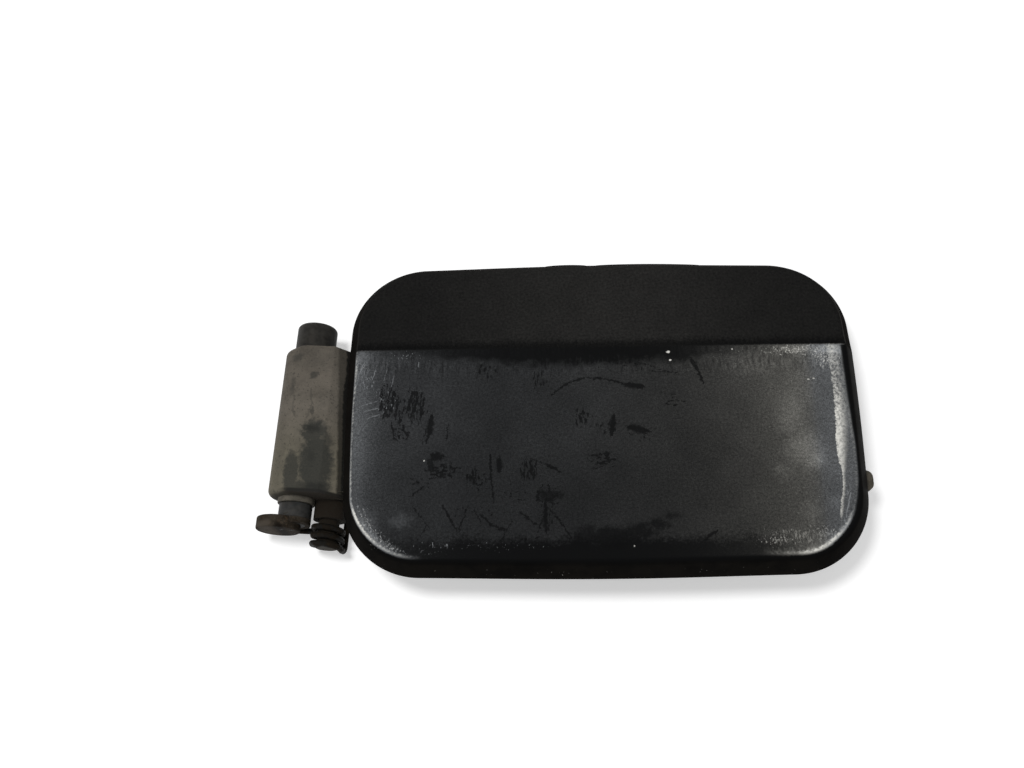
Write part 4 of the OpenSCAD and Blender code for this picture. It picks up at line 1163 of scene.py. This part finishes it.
def outline_rows(z, corner_steps, side_steps):
    """Right half of the outline, bottom to top: place and outward direction."""
    turn = np.radians(np.linspace(-90, 0, corner_steps + 1))
    low = np.stack([
        z.straight_w + z.corner * np.cos(turn), -z.straight_h + z.corner * np.sin(turn),
        np.cos(turn), np.sin(turn)], 1)
    # The rows lie up to six times closer within a millimetre or so of the crease
    fine = np.linspace(-z.straight_h, z.straight_h, 4001)
    crowd = np.cumsum(1 + 5 * np.exp(-((fine - z.crease) / 1.2) ** 2))
    crowd = (crowd - crowd[0]) / (crowd[-1] - crowd[0])
    y = np.interp(np.linspace(0, 1, side_steps + 1), crowd, fine)[1:-1]
    side = np.stack([np.full_like(y, z.half_w), y, np.ones_like(y), np.zeros_like(y)], 1)
    return np.concatenate([low, side, low[::-1] * (1, -1, 1, -1)])


def grid_places(rows, columns, inset):
    """Places of a grid between the outline's two sides, drawn in by the inset."""
    ends = rows[:, :2] - inset * rows[:, 2:]
    across = 2 * np.arange(columns + 1) / columns - 1
    return ends[:, :1] * across[None, :], np.repeat(ends[:, 1:], columns + 1, 1)


def border(array):
    """The border of a grid, once round against the clock from its lower left."""
    return np.concatenate([array[0], array[1:-1, -1], array[-1, ::-1], array[-2:0:-1, 0]])


def sheet_mesh(z, rows, columns, rings, step):
    """A pressed sheet: a fine grid, rings of (inset, height function) and a coarser back."""
    x, y = grid_places(rows, columns, rings[0][0])
    bx, by = bowed(z, x, y)
    points = [np.stack([bx.ravel(), by.ravel(), rings[0][1](x, y).ravel()], 1)]
    grid = np.arange(x.size).reshape(x.shape)
    corners = [grid[:-1, :-1], grid[:-1, 1:], grid[1:, 1:], grid[1:, :-1]]
    faces = np.stack(corners, -1).reshape(-1, 4).tolist()
    loop, count = border(grid), x.size
    for inset, level in rings[1:]:
        x, y = (border(a) for a in grid_places(rows, columns, inset))
        bx, by = bowed(z, x, y)
        points.append(np.stack([bx, by, level(x, y)], 1))
        ring = count + np.arange(len(loop))
        count += len(loop)
        faces += np.stack([np.roll(loop, -1), loop, ring, np.roll(ring, -1)], -1).tolist()
        loop = ring
    # The back shares every step-th point of the last ring, and its border faces take the rest
    inset, level = rings[-1]
    x, y = (a[::step, ::step][1:-1, 1:-1] for a in grid_places(rows, columns, inset))
    bx, by = bowed(z, x, y)
    points.append(np.stack([bx.ravel(), by.ravel(), level(x, y).ravel()], 1))
    lookup = np.full((len(rows), columns + 1), -1)
    lookup[0], lookup[1:-1, -1] = loop[:columns + 1], loop[columns + 1:columns + len(rows) - 1]
    lookup[-1, ::-1] = loop[columns + len(rows) - 1:2 * columns + len(rows)]
    lookup[-2:0:-1, 0] = loop[2 * columns + len(rows):]
    lookup[::step, ::step][1:-1, 1:-1] = count + np.arange(x.size).reshape(x.shape)
    for j in range(0, len(rows) - 1, step):
        for m in range(0, columns, step):
            walk = [(j, m + i) for i in range(step)] + [(j + i, m + step) for i in range(step)]
            walk += [(j + step, m + step - i) for i in range(step)]
            walk += [(j + step - i, m) for i in range(step)]
            cell = [int(lookup[at]) for at in walk]
            faces.append([v for v in cell if v >= 0][::-1])
    return np.concatenate(points), faces


def turned(inset, depth, radius, angle):
    """The point at an angle on a bend's arc, given the arc's centre."""
    return inset - radius * math.sin(angle), depth - radius * math.cos(angle)


def outer_section(z):
    """Section of the outer sheet's edge: inset and depth below the face, outside then inside."""
    around = [turned(z.bend_inset, z.bend, z.bend, a) for a in np.linspace(0, z.rim_angle, 9)]
    fold_at = (z.fold, z.rim_drop - z.fold)
    around += [turned(*fold_at, z.fold, a) for a in np.linspace(z.rim_angle, math.pi, 9)]
    around += [(z.hem, z.rim_drop), (z.hem, z.rim_drop - z.sheet)]
    inside = z.fold - z.sheet
    around += [turned(*fold_at, inside, a) for a in np.linspace(math.pi, z.rim_angle, 4)]
    around += [
        turned(z.bend_inset, z.bend, z.bend - z.sheet, a) for a in np.linspace(z.rim_angle, 0, 4)
    ]
    return around


def on_face(z, depth):
    return lambda x, y: face_level(z, x, y) - depth


def placed(z, points):
    return points + (z.centre_x, z.centre_y, 0.0)


# Fineness of the outer sheet: steps round a corner, up a side and across, and how many of these
# one step of its back takes
CORNER_STEPS, SIDE_STEPS, COLUMNS, BACK_STEP = 45, 110, 280, 5


class FLAP_OT_outer_panel(bpy.types.Operator):
    """Build the painted outer panel as a fine pressed sheet"""

    bl_idname = "flap.outer_panel"
    bl_label = "Outer panel"

    def execute(self, context):
        z = in_millimetres(context.scene.flap_sizes)
        rows, columns = outline_rows(z, CORNER_STEPS, SIDE_STEPS), COLUMNS
        section = outer_section(z)
        rings = [(inset, on_face(z, depth)) for inset, depth in section]
        points, faces = sheet_mesh(z, rows, columns, rings, BACK_STEP)
        piece = new_piece("painted_panel", placed(z, points), faces, "body_paint", context)

        # How far each point lies past the start of the bend, in millimetres along the sheet
        x, y = grid_places(rows, columns, z.bend_inset)
        qx, qy = np.abs(x) - z.straight_w, np.abs(y) - z.straight_h
        outside = np.hypot(qx.clip(0), qy.clip(0)) + np.minimum(np.maximum(qx, qy), 0)
        past = [(outside - z.corner + z.bend_inset).ravel()]
        runs = np.cumsum([0.0] + [math.dist(a, b) for a, b in zip(section, section[1:])])
        loop_length = 2 * (columns + len(rows) - 1)
        past += [np.full(loop_length, run) for run in runs[1:]]
        past = np.concatenate(past)
        past = np.concatenate([past, np.full(len(points) - len(past), runs[-1])])
        attribute = piece.data.attributes.new("past_bend", "FLOAT", "POINT")
        attribute.data.foreach_set("value", past.astype(np.float32))
        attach(piece, FLAP)
        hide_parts("outer_panel")
        return {"FINISHED"}


class FLAP_OT_inner_panel(bpy.types.Operator):
    """Build the primed inner sheet"""

    bl_idname = "flap.inner_panel"
    bl_label = "Inner panel"

    def execute(self, context):
        refined(context, "inner_panel", "primed_panel", FLAP, "primed_sheet", 0.0, 40.0)
        return {"FINISHED"}


# Rounding of the edges of bushes, pin and screws, in millimetres
FINE_EDGE, COLLAR_EDGE, SCREW_EDGE = 0.2, 0.3, 0.12


class FLAP_OT_hinge_arm(bpy.types.Operator):
    """Build the hinge arm and its two bushes"""

    bl_idname = "flap.hinge_arm"
    bl_label = "Hinge arm"

    def execute(self, context):
        edge = in_millimetres(context.scene.flap_sizes).edge_round
        cutters = [barrel_rounding(end, size) for end, size in END_ROUNDS.items()]
        refined(context, "hinge_arm", "moulded_arm", FLAP, "arm_moulding", edge, cutters=cutters)
        refined(context, "upper_bush", "bush_top", FLAP, "bush_moulding", FINE_EDGE)
        refined(context, "lower_bush", "bush_bottom", FLAP, "bush_moulding", COLLAR_EDGE)
        return {"FINISHED"}


class FLAP_OT_hinge_pin(bpy.types.Operator):
    """Build the pin, its spacer sleeve and its crank"""

    bl_idname = "flap.hinge_pin"
    bl_label = "Hinge pin"

    def execute(self, context):
        refined(context, "pivot_pin", "headed_pin", PIN, "pin_steel", FINE_EDGE)
        refined(context, "spacer_sleeve", "sleeve_ring", PIN, "sleeve_steel", COLLAR_EDGE)
        refined(context, "crank_lever", "rusty_crank", PIN, "rusty_steel", COLLAR_EDGE)
        return {"FINISHED"}


class FLAP_OT_spring(bpy.types.Operator):
    """Build the torsion spring"""

    bl_idname = "flap.spring"
    bl_label = "Torsion spring"

    def execute(self, context):
        refined(context, "torsion_spring", "coiled_spring", FLAP, "spring_steel", 0.0)
        return {"FINISHED"}


class FLAP_OT_latch_catch(bpy.types.Operator):
    """Build the latch catch"""

    bl_idname = "flap.latch_catch"
    bl_label = "Latch catch"

    def execute(self, context):
        edge = in_millimetres(context.scene.flap_sizes).edge_round
        refined(context, "latch_catch", "moulded_catch", FLAP, "catch_moulding", edge)
        return {"FINISHED"}


class FLAP_OT_fasteners(bpy.types.Operator):
    """Build the screws, weld nuts and rubber buffers"""

    bl_idname = "flap.fasteners"
    bl_label = "Fasteners and buffers"

    def execute(self, context):
        for node in sorted(NODES):
            if "_screw_" in node or "_nut_" in node:
                refined(context, node, "plated_" + node, FLAP, "plated_steel", SCREW_EDGE, 35.0)
            elif node.startswith("buffer_"):
                refined(context, node, "rubber_" + node, FLAP, "buffer_rubber", 0.0)
        return {"FINISHED"}


# ---- studio -----------------------------------------------------------------------------

# Half the floor's side in metres, its grey, and the distances between which its glow grows
FLOOR_HALF, FLOOR_GREY, GLOW_NEAR, GLOW_FAR, GLOW_GAIN = 2.5, 0.80, 0.25, 1.3, 0.3
# The lamp's width, what it points at, and where it stands from there, in metres
LAMP_SIZE, LAMP_AIM, LAMP_OFFSET = 0.26, Vector((0.09, 0.0, 0.0)), Vector((-0.31, 0.08, 1.0))
# The camera's place in metres and its turn in degrees, found from the photo
CAMERA_PLACE = Vector((0.0836, -0.12385, 0.368))
CAMERA_PITCH, CAMERA_YAW, CAMERA_ROLL = 20.65, -1.53, -0.23


def seen_directly(b):
    """1 for rays that show a surface to the camera, also through gloss or glass."""
    rays = b.node("LightPath").outputs
    return b.most(rays["Is Camera Ray"], rays["Is Glossy Ray"], rays["Is Transmission Ray"])


class FLAP_OT_stage(bpy.types.Operator):
    """Set up the floor, the light and the camera"""

    bl_idname = "flap.stage"
    bl_label = "Stage"

    def execute(self, context):
        scene, studio = context.scene, context.scene.flap_studio
        floor_level = cad_box[0].z
        mesh = bpy.data.meshes.new("studio_floor")
        corners = [
            (x * FLOOR_HALF, y * FLOOR_HALF, floor_level)
            for x, y in ((-1, -1), (1, -1), (1, 1), (-1, 1))
        ]
        mesh.from_pydata(corners, [], [(0, 1, 2, 3)])
        floor = bpy.data.objects.new("studio_floor", mesh)
        scene.collection.objects.link(floor)
        mesh.materials.append(self.floor_material(studio))
        self.light(scene, studio)
        self.camera(scene, studio)
        scene.view_settings.view_transform = "Standard"
        return {"FINISHED"}

    def floor_material(self, studio):
        material = bpy.data.materials.new("pale_floor")
        material.use_nodes = True
        b = Board(material.node_tree)
        surface = b.node("BsdfDiffuse")
        b.feed(surface.inputs["Color"], (FLOOR_GREY,) * 3)
        glow = b.node("Emission")
        away = b.vector("LENGTH", b.node("TexCoord").outputs["Object"])
        growing = b.span(away, GLOW_NEAR, GLOW_FAR, 0.0, GLOW_GAIN)
        b.feed(glow.inputs["Strength"], growing + studio.floor_glow)
        dark = b.node("Emission")
        dark.inputs["Strength"].default_value = 0.0
        chosen = b.fed(b.node("MixShader"), (seen_directly(b), dark.outputs[0], glow.outputs[0]))
        both = b.fed(b.node("AddShader"), (surface.outputs[0], chosen))
        b.feed(b.node("OutputMaterial").inputs["Surface"], both)
        return material

    def light(self, scene, studio):
        world = bpy.data.worlds.new("even_sky")
        world.use_nodes = True
        b = Board(world.node_tree)
        back = b.node("Background")
        b.feed(back.inputs["Strength"], b.mix_value(seen_directly(b), studio.sky, 1.0))
        b.feed(b.node("OutputWorld").inputs["Surface"], back.outputs[0])
        scene.world = world
        lamp = bpy.data.lights.new("soft_key", "AREA")
        lamp.shape, lamp.size, lamp.energy = "DISK", LAMP_SIZE, studio.key
        key = bpy.data.objects.new("soft_key", lamp)
        scene.collection.objects.link(key)
        key.visible_glossy = False
        key.location = LAMP_AIM + LAMP_OFFSET
        key.rotation_mode = "QUATERNION"
        key.rotation_quaternion = (key.location - LAMP_AIM).to_track_quat("Z", "Y")

    def camera(self, scene, studio):
        pitch, yaw, roll = (math.radians(v) for v in (CAMERA_PITCH, CAMERA_YAW, CAMERA_ROLL))
        level = math.cos(yaw)
        look = Vector((math.sin(yaw), math.sin(pitch) * level, -math.cos(pitch) * level))
        side = look.cross(Vector((0, 1, 0))).normalized()
        up = side.cross(look)
        right = side * math.cos(roll) + up * math.sin(roll)
        top = up * math.cos(roll) - side * math.sin(roll)
        lens = bpy.data.cameras.new("view")
        lens.sensor_width, lens.lens = 36.0, studio.lens
        lens.clip_start, lens.clip_end = 0.01, 20.0
        camera = bpy.data.objects.new("view", lens)
        scene.collection.objects.link(camera)
        turn = Matrix((right, top, -look)).transposed().to_4x4()
        camera.matrix_world = Matrix.Translation(CAMERA_PLACE) @ turn
        scene.camera = camera


OPERATORS = (
    FLAP_OT_outer_panel, FLAP_OT_inner_panel, FLAP_OT_hinge_arm, FLAP_OT_hinge_pin, FLAP_OT_spring,
    FLAP_OT_latch_catch, FLAP_OT_fasteners, FLAP_OT_stage,
)


class FLAP_PT_panel(bpy.types.Panel):
    """Lists the flap's operators"""

    bl_idname = "FLAP_PT_panel"
    bl_label = "Fuel filler flap"
    bl_space_type = "VIEW_3D"
    bl_region_type = "UI"
    bl_category = "Filler Flap"

    def draw(self, context):
        for operator in OPERATORS:
            self.layout.operator(operator.bl_idname)


CLASSES = (FlapSizes, FlapColours, FlapStudio, *OPERATORS, FLAP_PT_panel)


def register():
    for kind in CLASSES:
        bpy.utils.register_class(kind)
    bpy.types.Scene.flap_sizes = PointerProperty(type=FlapSizes)
    bpy.types.Scene.flap_colours = PointerProperty(type=FlapColours)
    bpy.types.Scene.flap_studio = PointerProperty(type=FlapStudio)


def unregister():
    del bpy.types.Scene.flap_sizes, bpy.types.Scene.flap_colours, bpy.types.Scene.flap_studio
    for kind in reversed(CLASSES):
        bpy.utils.unregister_class(kind)


def main():
    register()
    bpy.ops.flap.outer_panel()
    bpy.ops.flap.inner_panel()
    bpy.ops.flap.hinge_arm()
    bpy.ops.flap.hinge_pin()
    bpy.ops.flap.spring()
    bpy.ops.flap.latch_catch()
    bpy.ops.flap.fasteners()
    bpy.ops.flap.stage()


if __name__ == "__main__":
    main()
